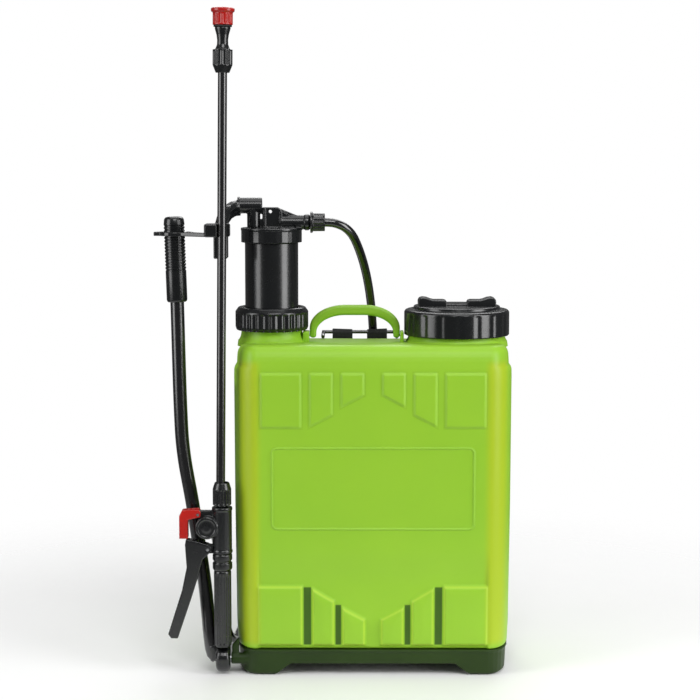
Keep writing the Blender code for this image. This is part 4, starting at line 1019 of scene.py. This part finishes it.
def inflate(obj, cap):
    """Puff a pad up with air pressure, and keep each point within a cap of where it was."""
    cells = obj.modifiers.new("Cells", "REMESH")
    cells.mode = "VOXEL"
    cells.voxel_size = 0.0042
    bake(obj)
    rest = [vert.co.copy() for vert in obj.data.vertices]
    cloth = obj.modifiers.new("Cloth", "CLOTH")
    cloth.settings.use_pressure = True
    cloth.settings.uniform_pressure_force = 4
    cloth.settings.effector_weights.gravity = 0
    last_frame = 20
    for number in range(1, last_frame + 1):
        bpy.context.scene.frame_set(number)
    graph = bpy.context.evaluated_depsgraph_get()
    puffed = obj.evaluated_get(graph).to_mesh()
    spots = [vert.co.copy() for vert in puffed.vertices]
    obj.modifiers.clear()
    for vert, start, end in zip(obj.data.vertices, rest, spots):
        move = end - start
        if move.length > cap:
            move *= cap / move.length
        vert.co = start + move
    bpy.context.scene.frame_set(1)


def ribbon_section(width, thick):
    """A webbing's cross-section with rounded selvedges."""
    half, deep = width / 2, thick / 2
    flat = half - deep
    return [(-half, 0), (-flat, -deep), (flat, -deep), (half, 0), (flat, deep), (-flat, deep)]


def make_pad(side, sign):
    """A shoulder pad: a flat cushion along the strap, narrower at its ends, puffed up as cloth."""
    low, high = 0.120, 0.345
    deep, lip = 0.0022, 0.001
    sections = []
    for n in range(PAD_STEPS + 1):
        z = low + (high - low) * n / PAD_STEPS
        share = n / PAD_STEPS
        half = 0.0105 + 0.0085 * ease(min(share, 1 - share) / 0.09)
        rim = deep * 0.6
        edge = [(-half, -rim), (-half + lip, -deep), (half - lip, -deep), (half, -rim),
                (half, rim), (half - lip, deep), (-half + lip, deep), (-half, rim)]
        x = strap_x(sign, z)
        sections.append([Vector((x + u, STRAP_Y + v, z)) for u, v in edge])
    pad = loft("shoulder_pad_" + side, sections)
    inflate(pad, 0.0035)
    soft = pad.modifiers.new("Soft", "SUBSURF")
    soft.levels = soft.render_levels = 1
    bake(pad)
    piece(pad, "padding", "root", sharp=80, slot="webbing")


def make_webbing(side, sign):
    """A strap's webbing: round the buckle at its foot, over the pad, round the bar and back down."""
    foot = TANK_X + sign * STRAP_FOOT[0]
    high = STRAP_MIDDLE + sign * STRAP_TOP[0]
    out, back = STRAP_Y + 0.0020, STRAP_Y - 0.0020
    route = [(strap_x(sign, 0.130), back, 0.130), (foot, back, 0.080), (foot, back, 0.046),
             (foot, back + 0.0002, 0.0385), (foot, STRAP_Y - 0.0014, 0.0342),
             (foot, STRAP_Y + 0.0006, 0.0334), (foot, out + 0.0002, 0.0352),
             (foot, out + 0.0010, 0.0400), (foot, out, 0.050)]
    for n in range(16):
        z = 0.06 + 0.02 * n
        over_pad = 0.0042 * ease((z - 0.095) / 0.03) * ease((0.372 - z) / 0.03)
        route.append((strap_x(sign, z), out + over_pad, z))
    route += [(high, STRAP_Y + 0.0030, 0.3790), (high, STRAP_Y + 0.0031, 0.3862), (high, STRAP_Y, 0.3894),
              (high, STRAP_Y - 0.0031, 0.3862), (high, STRAP_Y - 0.0026, 0.3790),
              (strap_x(sign, 0.355), back, 0.355), (strap_x(sign, 0.335), back, 0.335)]
    web = sweep("strap_webbing_" + side, smooth_path(route, 0.004), ribbon_section(0.0250, 0.0013),
                normal=(0, 1, 0))
    piece(web, "webbing", "root", "strap_" + side, sharp=60)


def make_rail():
    """The wire bar that the straps hang on, both ends let into the tank's top."""
    z = 0.3862
    half = 0.0450
    plan = [(half, 0.0480, 0.3845), (half, 0.0530, z), (half, 0.0600, z), (half, 0.0820, z),
            (half - 0.0010, 0.0870, z), (half - 0.0060, STRAP_Y, z)]
    route = [(STRAP_MIDDLE - across, y, height) for across, y, height in plan]
    route += [(STRAP_MIDDLE + across, y, height) for across, y, height in reversed(plan)]
    rail = sweep("strap_rail", smooth_path(route, 0.003), ring_section(0.0022, 16))
    piece(rail, "painted_steel", "root", "strap_bar")


for side, sign in (("left", -1), ("right", 1)):
    make_pad(side, sign)
    make_webbing(side, sign)
    moulded("buckle_plate_" + side, "strap_buckle_" + side, "black_plastic", "root", 0.0005, 4)
make_rail()


# ---------------------------------------------------------------- the nodes that stay

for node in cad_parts.values():
    kept = node.data.materials[0].name.split(".")[0] if node.data.materials else ""
    if kept in LOOKS:
        node.data.materials[0] = LOOKS[kept]
    node.data.shade_smooth()
    node.data.set_sharp_from_angle(angle=math.radians(35))


# ---------------------------------------------------------------- floor and light


def make_stage():
    """A pale round floor that fades into the white room."""
    bm = bmesh.new()
    radius = 1.25
    bmesh.ops.create_circle(bm, cap_ends=True, segments=96, radius=radius)
    floor = new_object("floor", bm)
    floor.location.z = -0.0002
    paper = look("floor_paper", tint(247, 247, 247), tint(244, 244, 244), 0.9, 2, 60, 0.005)
    nodes = paper.node_tree.nodes
    links = paper.node_tree.links
    reach = nodes.new("ShaderNodeVectorMath")
    reach.operation = "LENGTH"
    links.new(nodes.new("ShaderNodeTexCoord").outputs["Object"], reach.inputs[0])
    fade = nodes.new("ShaderNodeMapRange")
    fade.interpolation_type = "SMOOTHSTEP"
    fade.inputs["From Min"].default_value = 0.24 * radius
    fade.inputs["From Max"].default_value = 0.76 * radius
    links.new(reach.outputs["Value"], fade.inputs["Value"])
    mix = nodes.new("ShaderNodeMixShader")
    links.new(fade.outputs["Result"], mix.inputs[0])
    links.new(nodes["Principled BSDF"].outputs[0], mix.inputs[1])
    links.new(nodes.new("ShaderNodeBsdfTransparent").outputs[0], mix.inputs[2])
    links.new(mix.outputs[0], nodes["Material Output"].inputs["Surface"])
    floor.data.materials.append(paper)


def lamp(name, place, target, width, height, power):
    """A rectangular soft box that faces a point."""
    data = bpy.data.lights.new(name, "AREA")
    data.shape = "RECTANGLE"
    data.size = width
    data.size_y = height
    data.energy = power
    obj = bpy.data.objects.new(name, data)
    obj.location = place
    obj.rotation_euler = (Vector(target) - Vector(place)).to_track_quat("-Z", "Y").to_euler()
    WORK.objects.link(obj)


def make_light():
    """Soft boxes round a white room: the room shows white, and lights the object only a little."""
    world = bpy.data.worlds.new("studio")
    world.use_nodes = True
    nodes = world.node_tree.nodes
    links = world.node_tree.links
    dim = nodes["Background"]
    dim.inputs["Color"].default_value = (1, 1, 1, 1)
    dim.inputs["Strength"].default_value = 0.11
    bright = nodes.new("ShaderNodeBackground")
    bright.inputs["Color"].default_value = (1, 1, 1, 1)
    bright.inputs["Strength"].default_value = 1.0
    path = nodes.new("ShaderNodeLightPath")
    mix = nodes.new("ShaderNodeMixShader")
    links.new(path.outputs["Is Camera Ray"], mix.inputs[0])
    links.new(dim.outputs[0], mix.inputs[1])
    links.new(bright.outputs[0], mix.inputs[2])
    links.new(mix.outputs[0], nodes["World Output"].inputs["Surface"])
    bpy.context.scene.world = world
    lamp("softbox_left", (-1.45, -0.75, 0.80), (0, 0, 0.40), 0.85, 1.5, 15)
    lamp("softbox_right", (1.45, -0.85, 0.80), (0, 0, 0.40), 0.85, 1.5, 22)
    lamp("key_front", (0.35, -1.9, 2.1), (0, 0, 0.2), 1.4, 1.0, 25)
    lamp("softbox_top", (0, 0.1, 2.2), (0, 0, 0.3), 1.8, 1.4, 12)
    lamp("back_light", (0.3, 1.9, 2.0), (0, 0, 0.2), 2.0, 1.0, 24)


make_stage()
make_light()
